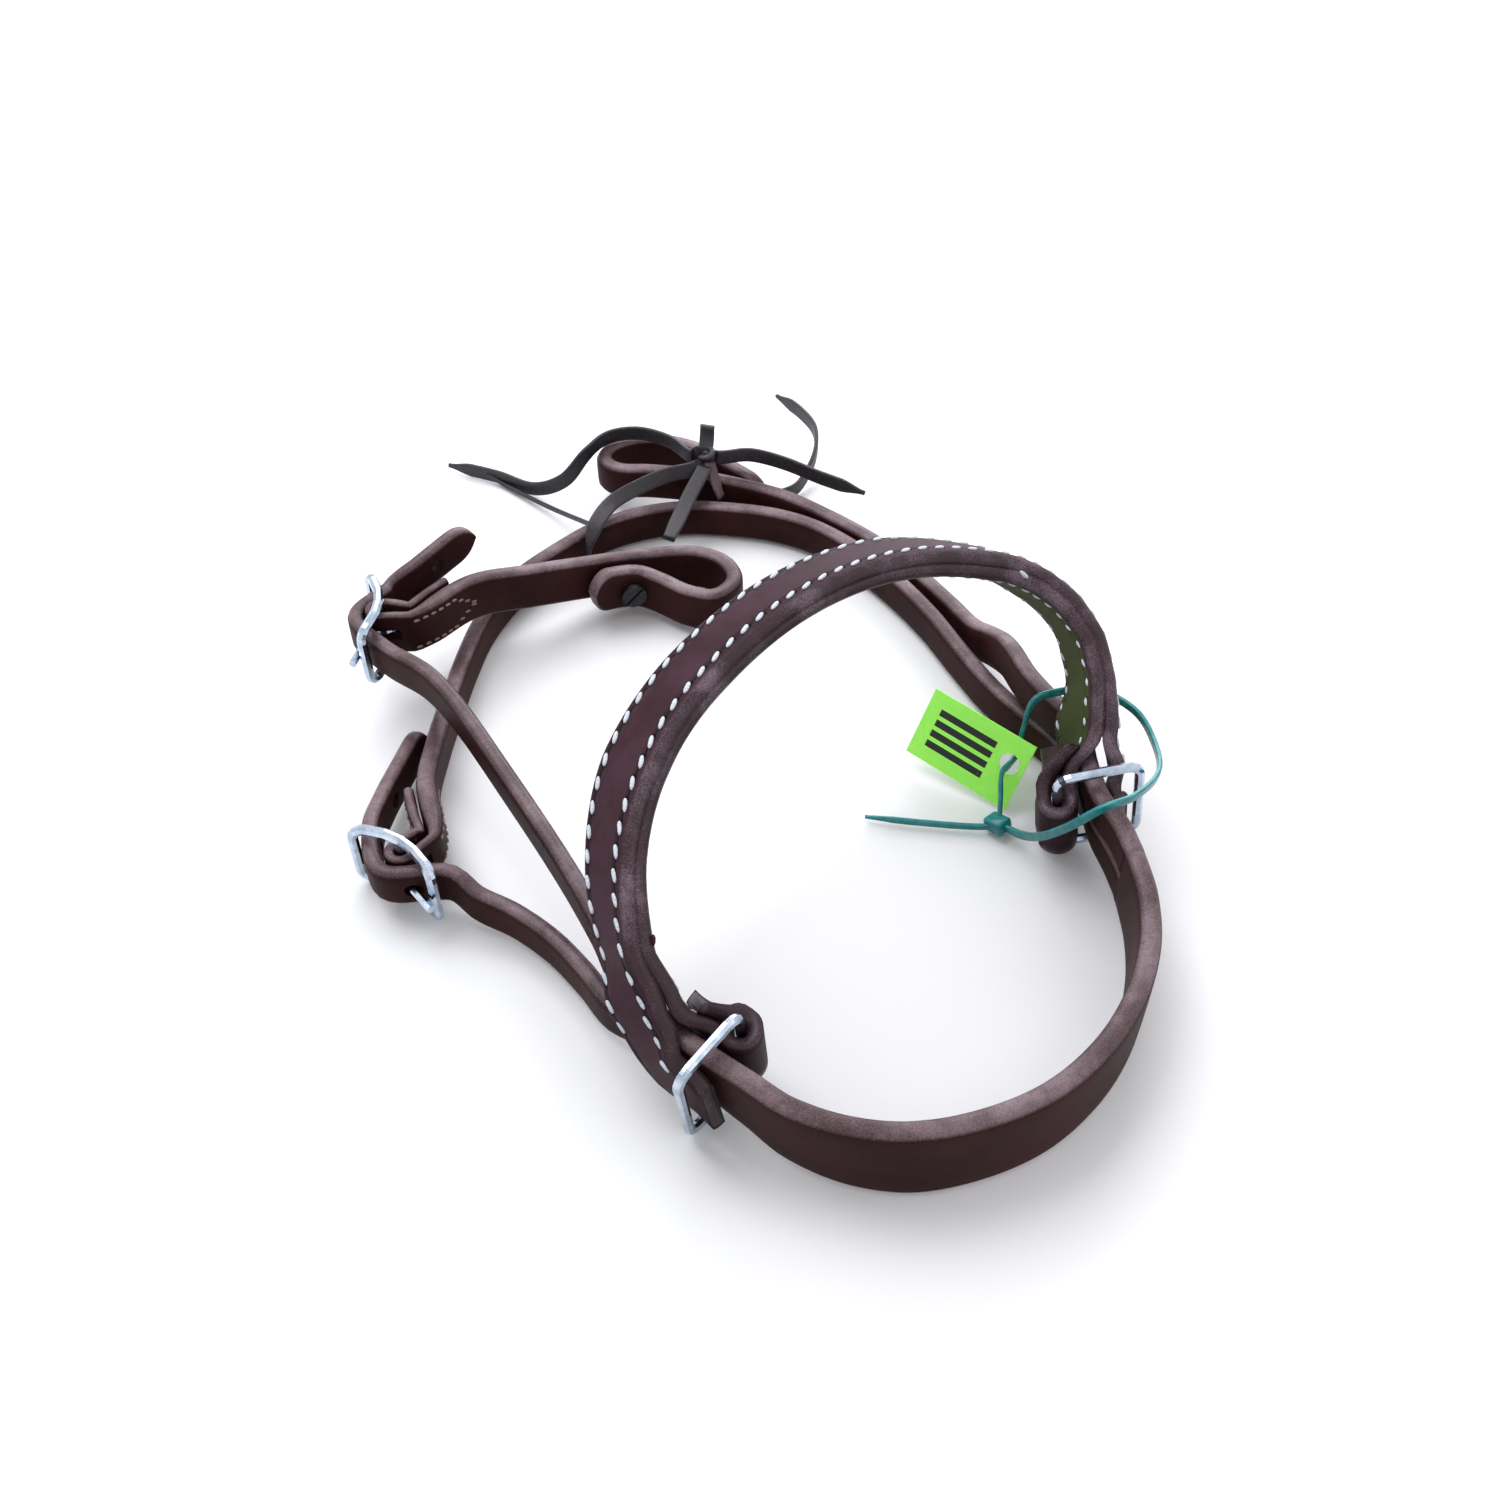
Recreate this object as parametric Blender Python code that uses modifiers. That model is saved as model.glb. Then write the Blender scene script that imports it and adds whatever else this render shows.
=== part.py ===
"""Browband headstall: stitched browband, split crown, cheek pieces, throatlatch, buckles and ties.

It is modelled as it lies on a table, straps standing on their edges. Sizes are in millimetres.
"""
import math

import bmesh
import bpy
from mathutils import Matrix, Vector

MM = 0.001
GAP = 0.3                    # clearance between pieces that touch

# Leather
STRAP_T = 5.4                # crown, cheeks and throatlatch
BILLET_T = 4.6               # the two buckle ends, thinned
CHAPE_T = 2.8                # a folded end, skived to turn round its bar
CHEEK_LAP_L = 26.0           # how far each folded end lies back
THROAT_LAP_L = 27.0
CROWN_W = 24.0
SPLIT_GAP = 0.6              # kerf of the cut that makes two tails of the crown
CHEEK_W = 14.0               # left cheek piece
BROW_W = 18.0
BROW_PLY_T = 3.6
EDGE_ROUND = 1.3             # rounding of a strap's cut edges
TIP_L = 9.0                  # taper of a pointed end
TIP_W = 4.0
FLAP_L = 15.0                # browband's folded end past its loop
HOLE_D = 4.4
HOLE_PITCH = 19.0

# Metal
FRAME_WIRE = 2.8
FRAME_INNER_W = 15.4         # across the strap
FRAME_FRONT = 14.0           # centre bar to front bar
FRAME_REAR = 12.5            # centre bar to rear bar
FRAME_CORNER = 3.2
FRAME_SWELL = 4.0            # how far both ends curve out past the centre bar
TONGUE_WIRE = 2.2
TONGUE_SLOT_W = 3.4
LOOP_WIRE = 2.6
LOOP_CORNER = 3.4
LOOP_ROOM = 1.6              # between the crown's edges and the loop
LOOP_SLACK_LEFT = 1.4        # on the outer ply's side
LOOP_SLACK_RIGHT = 2.6
LOOP_LIFT_LEFT = 1.2         # of the loops over the browband's middle
LOOP_LIFT_RIGHT = 2.8
SCREW_HEAD_R = 3.8
SCREW_HEAD_T = 1.6
SCREW_POST_R = 2.2
SCREW_SHANK_R = 1.2
SCREW_STAND = 1.3            # head clear of the strap's face
SCREW_SINK = 0.5             # stem's overlap with its head
SCREW_FLOOR = 0.8            # left under the post's bore
SCREW_BORE_PAST = 2.0
SCREW_SHANK_SHARE = 0.9      # of the span between the plies
SCREW_SLOT = (1.0, 1.2)

# Facets along a strap and round a fold
STRAP_STEP = 6.5

# Stations of each strap: x, y, z of its centreline and its lean, where 0 stands on its edge
CROWN = [
    (-17.6, -100.8, 15.8, 9), (-14.2, -106.6, 16.0, 11), (-9.0, -112.0, 16.1, 13),
    (-2.8, -117.2, 16.1, 12), (4.5, -122.6, 15.4, 10), (14.0, -129.2, 13.6, 7),
    (27.0, -134.0, 12.6, 3), (41.0, -135.2, 12.4, 0), (57.0, -131.5, 12.4, 0), (71.0, -124.5, 12.4, 0),
    (83.5, -113.0, 12.4, 0), (92.5, -99.5, 12.4, 0), (98.0, -85.0, 12.4, 0), (100.2, -71.0, 12.4, -2),
    (99.7, -58.5, 12.9, -5),
]
CROWN_RIGHT = [
    (98.3, -51.0, 14.2, -8), (94.9, -43.0, 15.9, -11), (93.4, -34.2, 16.9, -12), (93.4, -24.0, 15.0, -8),
]
THROAT_BILLET = [(-26.8, -95.4, 8.4, 0), (-34.5, -84.4, 6.6, 0), (-43.0, -74.6, 6.4, 0),
                 (-53.0, -66.8, 6.8, 0), (-62.5, -62.4, 8.2, 0)]
CHEEK_BILLET = [(-24.2, -94.5, 20.6, 0), (-30.5, -79.5, 19.0, 0), (-42.5, -56.5, 17.6, 0),
                (-58.5, -31.0, 20.0, 0), (-73.0, -9.5, 23.0, 0), (-82.5, 1.5, 24.5, 0)]
THROATLATCH = [
    (92.2, -15.5, 7.6, -3), (88.4, -5.5, 6.6, 0), (81.0, 4.5, 6.4, 0), (73.6, 16.0, 6.4, 0),
    (66.0, 32.0, 6.4, 0), (59.4, 47.0, 6.4, 0), (50.0, 63.5, 6.4, 0), (38.5, 79.0, 6.4, 0),
    (25.5, 91.0, 6.4, 0), (13.0, 97.2, 6.4, 0), (-1.0, 100.2, 6.4, 0), (-15.0, 101.2, 6.4, 0),
    (-29.0, 98.4, 6.4, 0), (-42.0, 91.8, 6.4, 0), (-54.5, 80.0, 6.4, 0),
    (-67.0, 64.2, 6.4, 0), (-74.6, 46.0, 6.4, 0), (-77.8, 28.0, 6.8, 0), (-79.6, 10.0, 7.2, 0),
    (-80.8, -8.0, 8.2, 0), (-80.6, -26.0, 9.6, 0),
]
RIGHT_CHEEK = [
    (93.2, -17.0, 19.8, -4), (91.0, -10.5, 19.2, 0), (86.4, -2.5, 18.6, 0), (81.8, 7.5, 18.4, 0),
    (78.4, 18.5, 18.2, 0), (75.8, 29.0, 13.2, 0), (71.4, 40.0, 7.8, 0), (65.8, 52.0, 6.4, 0),
    (56.2, 67.5, 6.4, 0), (44.5, 83.0, 6.4, 0), (29.5, 96.5, 6.8, 0), (13.5, 106.5, 8.0, 0),
]
LEFT_CHEEK = [
    (-76.0, 42.0, 21.5, 0), (-60.0, 52.0, 17.5, 0), (-44.0, 62.0, 13.0, 0), (-29.0, 69.5, 10.0, 0),
]
BROWBAND = [
    (1.0, -120.4, 14.6, -11), (-2.8, -117.2, 16.1, -11), (-9.5, -112.6, 20.0, -11),
    (-15.2, -107.4, 27.5, -9), (-20.0, -100.6, 36.5, -2), (-24.4, -84.2, 49.0, 22),
    (-20.5, -64.6, 60.6, 43), (-7.4, -43.6, 68.8, 48), (14.5, -20.1, 72.3, 49),
    (39.6, -2.3, 69.5, 47), (66.0, 8.0, 60.2, 46), (78.6, 8.2, 53.5, 42), (87.0, 3.0, 48.5, 34),
    (91.4, -5.0, 43.5, 24), (93.2, -13.0, 37.5, 14), (93.6, -21.0, 31.0, 10), (93.4, -28.0, 23.0, 8),
    (93.2, -34.2, 16.2, 8), (95.2, -40.4, 13.2, 9),
]

# Where the metal loops sit along the browband, and where its plies part round the crown
TAB_L = 5.5
PARTED_L = 26.0              # both edges parted
HIGH_SHUT_L = 46.0           # upper edge shut again
LOW_PARTED_L = 50.0          # lower edge still parted, flared by:
LOW_SHUT_L = 70.0
FLARE = 1.8
PLY_CLEAR = 1.2              # between a parted ply and the crown
SKEW_LEFT = 2.5              # both ends lie askew: low edge further out, high edge further in
SKEW_RIGHT = 4.0
SKEW_L = 26.0

# The two buckles: centre of the hinge bar, and the direction from front bar to rear bar
CHEEK_BUCKLE = ((-99.0, 26.5, 23.5), (-0.10, 0.995, 0.0))
THROAT_BUCKLE = ((-82.6, -51.6, 10.9), (-0.835, 0.55, 0.0))

# Ends of the straps past the buckles, and the loops that hold the bit
CHEEK_TAIL = [(-91.4, 43.2, 28.0, 0), (-83.4, 53.6, 29.5, 0), (-78.0, 60.6, 30.0, 0)]
THROAT_TAIL = [(-91.5, -31.0, 9.6, 0), (-88.8, -16.0, 8.6, 0), (-86.2, -3.0, 8.0, 0)]
LEFT_BIT_LOOP = [
    (-12.0, 72.0, 9.2, 0), (-3.0, 67.5, 9.0, 0), (0.2, 58.5, 9.0, 0), (-5.5, 51.2, 9.0, 0),
    (-14.0, 53.2, 9.0, 0), (-21.5, 58.2, 9.2, 0), (-28.5, 61.4, 9.8, 0), (-34.5, 59.4, 11.2, 0),
    (-42.5, 54.0, 13.2, 0),
]
RIGHT_BIT_LOOP = [
    (-15.0, 113.2, 11.0, 0), (-28.0, 115.4, 11.0, 0), (-38.5, 116.2, 11.0, 0), (-43.5, 122.0, 11.0, 0),
    (-39.5, 129.8, 11.0, 0), (-27.0, 133.2, 11.0, 0), (-13.0, 128.4, 11.0, 0), (-1.5, 119.2, 10.0, 0),
    (9.5, 109.6, 9.2, 0),
]
SCREW_AT = (-31.5, 60.8, 10.3)         # in the near ply
SCREW_AXIS = (-0.25, 0.97, 0.0)
SCREW_SPAN = 8.2             # between the middles of the two plies

# Flat laces of the bit tie, drawn as round cords of the same width as the thong is deep
LACE_D = 3.2
KNOT = (-9.5, 112.5, 22.6)
KNOT_R = 3.0
KNOT_TURNS = 1.4
KNOT_FACETS = 22
LACES = {
    "lace_left": [(-15.0, 114.7, 21.5), (-22.0, 124.5, 20.5), (-32.5, 130.0, 20.0), (-42.5, 128.0, 19.6),
                  (-49.0, 121.0, 18.0), (-57.0, 118.0, 9.5), (-68.0, 122.0, 3.2), (-81.0, 129.5, 1.7),
                  (-99.0, 136.5, 1.7)],
    "lace_right": [(-3.8, 113.6, 21.5), (5.0, 116.5, 20.5), (16.0, 115.5, 18.0), (28.0, 110.8, 15.5),
                   (42.5, 105.5, 13.0)],
    "lace_curl": [(18.5, 119.0, 1.7), (22.5, 124.5, 3.5), (27.0, 134.0, 8.0), (27.5, 145.0, 11.0),
                  (22.5, 155.5, 12.0), (14.5, 166.0, 12.0)],
    "lace_hanging": [(-14.0, 108.7, 20.0), (-22.0, 107.0, 19.0), (-32.0, 101.5, 17.6), (-39.0, 95.0, 16.8),
                     (-43.4, 86.2, 15.6), (-45.6, 81.6, 11.0), (-46.2, 80.2, 7.5)],
    "lace_band": [(-10.6, 106.7, 20.0), (-13.5, 101.0, 17.5), (-16.6, 92.5, 15.4), (-20.6, 79.5, 14.0)],
}
TIE_D = 2.4
TIE_HEAD = (6.5, 5.2, 4.2)
TIE_HEAD_ROUND = 0.8
TIE_TAIL_D = 1.9                # its cut tail is thinner than its loop
TIE_STEP = 5.0
TIE_PIVOT = (95.0, -28.0, 20.0)  # it turns about an upright line inside the browband's leg
TIE_HEAD_AT = (71.0, -31.0, 3.2)
TIE_LOOP = [
    (76.0, -37.0, 5.6), (79.5, -45.0, 14.0), (84.5, -50.5, 24.0), (91.0, -52.0, 32.0), (99.0, -49.0, 33.0),
    (107.4, -38.0, 30.0), (109.2, -26.0, 28.0), (106.5, -13.0, 27.6), (97.0, -4.5, 27.6),
    (88.0, -5.5, 27.6), (81.0, -7.5, 26.2), (78.6, -10.4, 17.8), (77.4, -13.2, 11.9),
    (74.8, -17.2, 11.8), (72.3, -20.9, 11.9), (71.9, -26.0, 7.4),
]
TIE_TAIL = [(67.2, -31.2, 2.2), (52.0, -29.5, 1.8), (36.0, -27.0, 1.6)]
TAG_END_AT = (77.7088, -20.5316, 9.4937)  # middle of the card's short edge beside its hole
TAG_SIZE = (32.0, 20.0, 0.6)
TAG_LONG = (0.80, -0.60, -0.12)
TAG_STEEP = 62.0             # degrees between the card and the table
TAG_HOLE_D = 6.0

# Facets: the bend that a strap's facet may take, and the number round a fold
BEND_STEP = math.radians(24)
FOLD_FACETS = 6
ROUTE_FACETS = 12

part = bpy.data.collections.new("browband_headstall")
cutters = bpy.data.collections.new("cutters")


def clear_scene():
    for obj in list(bpy.data.objects):
        bpy.data.objects.remove(obj, do_unlink=True)
    for collection in (part, cutters):
        bpy.context.scene.collection.children.link(collection)


def material(name, colour, roughness, metallic=0.0):
    mat = bpy.data.materials.new(name)
    mat.use_nodes = True
    bsdf = mat.node_tree.nodes["Principled BSDF"]
    bsdf.inputs["Base Color"].default_value = (*colour, 1.0)
    bsdf.inputs["Roughness"].default_value = roughness
    bsdf.inputs["Metallic"].default_value = metallic
    return mat


def smooth(x):
    x = min(max(x, 0.0), 1.0)
    return x * x * (3 - 2 * x)


def mix(a, b, x):
    return a + (b - a) * x


class Route:
    """A smooth centreline through stations, measured along its length."""

    def __init__(self, stations):
        knots = [(Vector(s[:3]), s[3] if len(s) > 3 else 0.0) for s in stations]
        before = (knots[0][0] * 2 - knots[1][0], knots[0][1])
        after = (knots[-1][0] * 2 - knots[-2][0], knots[-1][1])
        knots = [before, *knots, after]
        self.points, self.leans, self.lengths = [], [], [0.0]
        for a, b, c, d in zip(knots, knots[1:], knots[2:], knots[3:]):
            for k in range(ROUTE_FACETS):
                self.points.append(through(a[0], b[0], c[0], d[0], k / ROUTE_FACETS))
                self.leans.append(mix(b[1], c[1], k / ROUTE_FACETS))
        self.points.append(knots[-2][0])
        self.leans.append(knots[-2][1])
        for a, b in zip(self.points, self.points[1:]):
            self.lengths.append(self.lengths[-1] + (b - a).length)
        self.length = self.lengths[-1]

    def station(self, index):
        """Length at which the curve reaches a station."""
        return self.lengths[ROUTE_FACETS * index]

    def place(self, s):
        """The piece of the curve that length s falls in, and how far along it."""
        i = max([k for k in range(len(self.points) - 1) if self.lengths[k] <= s] or [0])
        return i, (s - self.lengths[i]) / (self.lengths[i + 1] - self.lengths[i])

    def lean(self, s):
        i, u = self.place(s)
        return mix(self.leans[i], self.leans[i + 1], min(max(u, 0), 1))

    def at(self, s):
        """Position, then the directions along, across and out of the face, at length s."""
        i, u = self.place(s)
        a, b = self.points[i], self.points[i + 1]
        before, after = self.points[max(i - 1, 0)], self.points[min(i + 2, len(self.points) - 1)]
        along = (b - before).normalized().lerp((after - a).normalized(), min(max(u, 0), 1)).normalized()
        lean = math.radians(self.lean(s))
        up = (Vector((0, 0, 1)) - along * along.z).normalized()
        wide = up * math.cos(lean) + along.cross(up) * math.sin(lean)
        return a + (b - a) * u, along, wide, along.cross(wide)

    def stops(self, start, end):
        """Lengths for the strap's edges: every STRAP_STEP, and closer where it bends."""
        found, s = [start], start
        last = self.at(start)[1]
        while s < end - 1.0:
            s += 1.0
            along = self.at(s)[1]
            if s - found[-1] >= STRAP_STEP or along.angle(last) > BEND_STEP:
                found.append(s)
                last = along
        if len(found) > 1 and end - found[-1] < 2.0:
            found.pop()
        return found + [end]


def through(a, b, c, d, u):
    """The smooth curve from b to c, leaving b as a-c runs and reaching c as b-d runs."""
    near = (c - b).length
    leave = (c - a) * (near / ((b - a).length + near))
    reach = (d - b) * (near / ((d - c).length + near))
    return (b * (2 * u**3 - 3 * u**2 + 1) + leave * (u**3 - 2 * u**2 + u)
            + c * (3 * u**2 - 2 * u**3) + reach * (u**3 - u**2))


def tip_half(half, left):
    """Half width of a strap with this much length left to its rounded tip."""
    if left >= TIP_L:
        return half
    return max(TIP_W / 2, half * math.sqrt(1 - (1 - left / TIP_L) ** 2))


def strip(route, start, end, half, tip=False, share=lambda s: 1.0):
    """Rows of a strap: low edge, high edge and share of the full thickness."""
    stops = route.stops(start, end)
    if tip:
        stops = [s for s in stops if s < end - TIP_L - 2] + [end - TIP_L * k for k in (1, 0.55, 0.2, 0)]
    rows = []
    for s in stops:
        pos, _, wide, _ = route.at(s)
        wide = wide * (tip_half(half, end - s) if tip else half)
        rows.append((pos - wide, pos + wide, share(s)))
    return rows


def turned_back(bar, frame, radius, follow, lap, half, share):
    """Rows of an end that turns round a bar and lies back along its own strap.

    frame holds the directions out past the bar, across the strap, and to the side it turns to.
    follow gives the low and high points of the returned ply at a distance back from the bar.
    """
    out, wide, turn = frame
    rows = []
    for k in range(1, FOLD_FACETS):
        angle = math.pi * k / FOLD_FACETS
        point = bar - turn * (radius * math.cos(angle)) + out * (radius * math.sin(angle))
        rows.append((point - wide * half, point + wide * half, share))
    count = round(lap / (STRAP_STEP / 2))
    for k in range(count + 1):
        low, high = follow(lap * k / count)
        rows.append((low, high, share))
    return rows


def sheet(rows):
    """A surface that starts as one edge and is extruded through the rows."""
    bm = bmesh.new()
    deform = bm.verts.layers.deform.verify()
    ends = [bm.verts.new(p * MM) for p in rows[0][:2]]
    bm.edges.new(ends)
    for vert in ends:
        vert[deform][0] = rows[0][2]
    for low, high, share in rows[1:]:
        made = bmesh.ops.extrude_edge_only(bm, edges=[bm.edges.get(ends)])["geom"]
        fresh = [g for g in made if isinstance(g, bmesh.types.BMVert)]
        ends = sorted(fresh, key=lambda v: (v.co - ends[0].co).length)
        for vert, point in zip(ends, (low, high)):
            vert.co = point * MM
            vert[deform][0] = share
    return bm


def new_object(name, bm, mat=None, collection=None):
    mesh = bpy.data.meshes.new(name)
    bm.to_mesh(mesh)
    bm.free()
    obj = bpy.data.objects.new(name, mesh)
    (collection or part).objects.link(obj)
    if mat:
        mesh.materials.append(mat)
    return obj


def leather(name, rows, thickness, mat, collection=None, rounding=EDGE_ROUND):
    """A strap: the sheet of its rows, thickened to both sides, its edges rounded."""
    obj = new_object(name, sheet(rows), mat, collection)
    obj.vertex_groups.new(name="thickness")
    solid = obj.modifiers.new("thickness", "SOLIDIFY")
    solid.thickness = thickness * MM
    solid.offset = 0
    solid.vertex_group = "thickness"
    bevel = obj.modifiers.new("edges", "BEVEL")
    bevel.width = rounding * MM
    bevel.segments = 1
    bevel.limit_method = "ANGLE"
    bevel.angle_limit = math.radians(55)
    return evaluated(obj)


def evaluated(obj):
    """Apply the object's modifiers and weld what coincides."""
    graph = bpy.context.evaluated_depsgraph_get()
    mesh = bpy.data.meshes.new_from_object(obj.evaluated_get(graph))
    bm = bmesh.new()
    bm.from_mesh(mesh)
    bmesh.ops.remove_doubles(bm, verts=bm.verts, dist=1e-6)
    bmesh.ops.recalc_face_normals(bm, faces=bm.faces)
    bm.to_mesh(mesh)
    bm.free()
    obj.modifiers.clear()
    obj.data = mesh
    mesh.shade_smooth()
    mesh.set_sharp_from_angle(angle=math.radians(40))
    return obj


def boolean(obj, tools, operation):
    """Cut or join with each tool, which becomes a hidden guide."""
    for tool in tools:
        mod = obj.modifiers.new(operation.lower(), "BOOLEAN")
        mod.operation = operation
        mod.object = tool
        mod.solver = "EXACT"
        tool.hide_render = True
        tool.display_type = "WIRE"
    return evaluated(obj)


def tube(name, points, diameter, mat=None, cyclic=False, resolution=2, collection=None):
    """A round wire through the points, as a closed mesh."""
    curve = bpy.data.curves.new(name, "CURVE")
    curve.dimensions = "3D"
    curve.bevel_depth = diameter / 2 * MM
    curve.bevel_resolution = resolution
    curve.use_fill_caps = True
    spline = curve.splines.new("POLY")
    spline.points.add(len(points) - 1)
    for slot, point in zip(spline.points, points):
        slot.co = (*(point * MM), 1.0)
    spline.use_cyclic_u = cyclic
    line = bpy.data.objects.new(name + "_line", curve)
    cutters.objects.link(line)
    graph = bpy.context.evaluated_depsgraph_get()
    mesh = bpy.data.meshes.new_from_object(line.evaluated_get(graph))
    bpy.data.objects.remove(line, do_unlink=True)
    bm = bmesh.new()
    bm.from_mesh(mesh)
    bmesh.ops.remove_doubles(bm, verts=bm.verts, dist=1e-6)
    bmesh.ops.recalc_face_normals(bm, faces=bm.faces)
    obj = new_object(name, bm, mat, collection)
    obj.data.shade_smooth()
    obj.data.set_sharp_from_angle(angle=math.radians(50))
    return obj


def cord(name, stations, diameter, mat):
    """A free cord, its points read from a smooth curve through the stations."""
    route = Route(stations)
    count = max(3, round(route.length / (2.5 * diameter)))
    points = [route.at(route.length * k / count)[0] for k in range(count + 1)]
    return tube(name, points, diameter, mat)


def solid(name, bm, frame, mat=None, collection=None):
    """Place a shape made at the origin by its frame: centre, then the x, y and z directions."""
    centre, x, y, z = frame
    turn = Matrix((x, y, z)).transposed().to_4x4()
    bmesh.ops.scale(bm, vec=(MM, MM, MM), verts=bm.verts)
    bmesh.ops.transform(bm, matrix=Matrix.Translation(centre * MM) @ turn, verts=bm.verts)
    return new_object(name, bm, mat, collection)


def box(name, size, frame, mat=None, collection=None, rounding=0.0):
    bm = bmesh.new()
    bmesh.ops.create_cube(bm, size=1.0)
    bmesh.ops.scale(bm, vec=size, verts=bm.verts)
    if rounding:
        bmesh.ops.bevel(bm, geom=list(bm.edges), offset=rounding, segments=2, affect="EDGES",
                        profile=0.5, material=-1)
    return solid(name, bm, frame, mat, collection)


def rod(name, start, end, diameter, mat=None, collection=None, sides=12):
    """A plain cylinder between two points."""
    bm = bmesh.new()
    bmesh.ops.create_cone(bm, cap_ends=True, segments=sides, radius1=diameter / 2,
                          radius2=diameter / 2, depth=(end - start).length)
    z = (end - start).normalized()
    x = z.orthogonal().normalized()
    return solid(name, bm, ((start + end) / 2, x, z.cross(x), z), mat, collection)


def set_origin(obj, point):
    """Put the object's origin on its joint's axis; the mesh stays where it is."""
    obj.data.transform(Matrix.Translation(-point * MM))
    obj.location = point * MM


def rounded_rectangle(low, high, half, corner, facets=4):
    """Points of a rectangle from low to high along x and -half to half along y."""
    corners = ((high - corner, half - corner), (low + corner, half - corner),
               (low + corner, corner - half), (high - corner, corner - half))
    points = []
    for quarter, (cx, cy) in enumerate(corners):
        for k in range(facets + 1):
            angle = math.pi / 2 * (quarter + k / facets)
            points.append((cx + corner * math.cos(angle), cy + corner * math.sin(angle)))
    return points


class Buckle:
    """Centre-bar buckle: its bar stands upright, its ends curve outwards past the bar."""

    half = FRAME_INNER_W / 2 + FRAME_WIRE / 2
    fold_radius = FRAME_WIRE / 2 + GAP + CHAPE_T / 2

    def __init__(self, name, centre, rearward):
        self.name = name
        self.bar = Vector(centre)
        self.rear = Vector(rearward).normalized()
        self.up = Vector((0, 0, 1))
        self.out = self.up.cross(self.rear)

    def place(self, along, across, out):
        return self.bar + self.rear * along + self.up * across + self.out * out

    def swell(self, along):
        reach = FRAME_REAR if along > 0 else FRAME_FRONT
        return FRAME_SWELL * (along / reach) ** 2

    def threading(self):
        """Stations of a billet: inside the front bar, over the hinge bar, inside the rear bar."""
        under = FRAME_SWELL - 1.45 * (FRAME_WIRE / 2 + GAP + BILLET_T / 2)
        over = self.fold_radius + CHAPE_T / 2 + GAP + BILLET_T / 2 + 0.2
        spots = ((-FRAME_FRONT, under), (0, over), (FRAME_REAR, under))
        return [(*self.place(along, 0, out), 0.0) for along, out in spots]

    def chape_stations(self):
        """Last stations of the strap that folds round the hinge bar."""
        side = -self.rear * self.fold_radius
        return [(*(self.bar + side - self.out * back), 0.0) for back in (9.0, 4.0, 0.0)]

    def frame(self, mat):
        outline = rounded_rectangle(-FRAME_FRONT, FRAME_REAR, self.half, FRAME_CORNER)
        points = []
        for (x0, y0), (x1, y1) in zip(outline, outline[1:] + outline[:1]):
            count = max(1, round(math.hypot(x1 - x0, y1 - y0) / 5))
            for k in range(count):
                x, y = mix(x0, x1, k / count), mix(y0, y1, k / count)
                points.append(self.place(x, y, self.swell(x)))
        ring = tube(self.name + "_frame", points, FRAME_WIRE, mat, cyclic=True)
        bar = rod(self.name + "_bar", self.place(0, -self.half, 0), self.place(0, self.half, 0),
                  FRAME_WIRE, collection=cutters, sides=12)
        boolean(ring, [bar], "UNION")
        set_origin(ring, self.bar)
        return ring

    def tongue_line(self):
        """Where the tongue leaves its eye, and its tip on the front bar."""
        radius = FRAME_WIRE / 2 + GAP + TONGUE_WIRE / 2
        reach = FRAME_SWELL + radius
        return self.place(-0.3, 0, radius), self.place(-FRAME_FRONT - 1.8, 0, reach + 0.7)

    def tongue(self, mat):
        radius = FRAME_WIRE / 2 + GAP + TONGUE_WIRE / 2
        start, tip = self.tongue_line()
        eye = [self.place(radius * math.cos(a), 0, radius * math.sin(a))
               for a in [math.radians(150 + 24 * k) for k in range(12)]]
        line = eye + [start + (tip - start) * k for k in (0.3, 0.65, 1.0)]
        piece = tube(self.name + "_tongue", line, TONGUE_WIRE, mat)
        set_origin(piece, self.bar)
        return piece

    def slot_cutter(self):
        """Room for the tongue's eye in the fold of the chape."""
        deep = self.fold_radius + CHAPE_T
        return box(self.name + "_slot", (2 * deep, TONGUE_SLOT_W, 2 * deep),
                   (self.place(0, 0, 0.1 * deep), self.rear, self.up, -self.out), collection=cutters)

    def hole_cutter(self):
        """The billet's hole that the tongue comes through."""
        start, tip = self.tongue_line()
        return rod(self.name + "_hole", start, tip, HOLE_D, collection=cutters)


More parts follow.
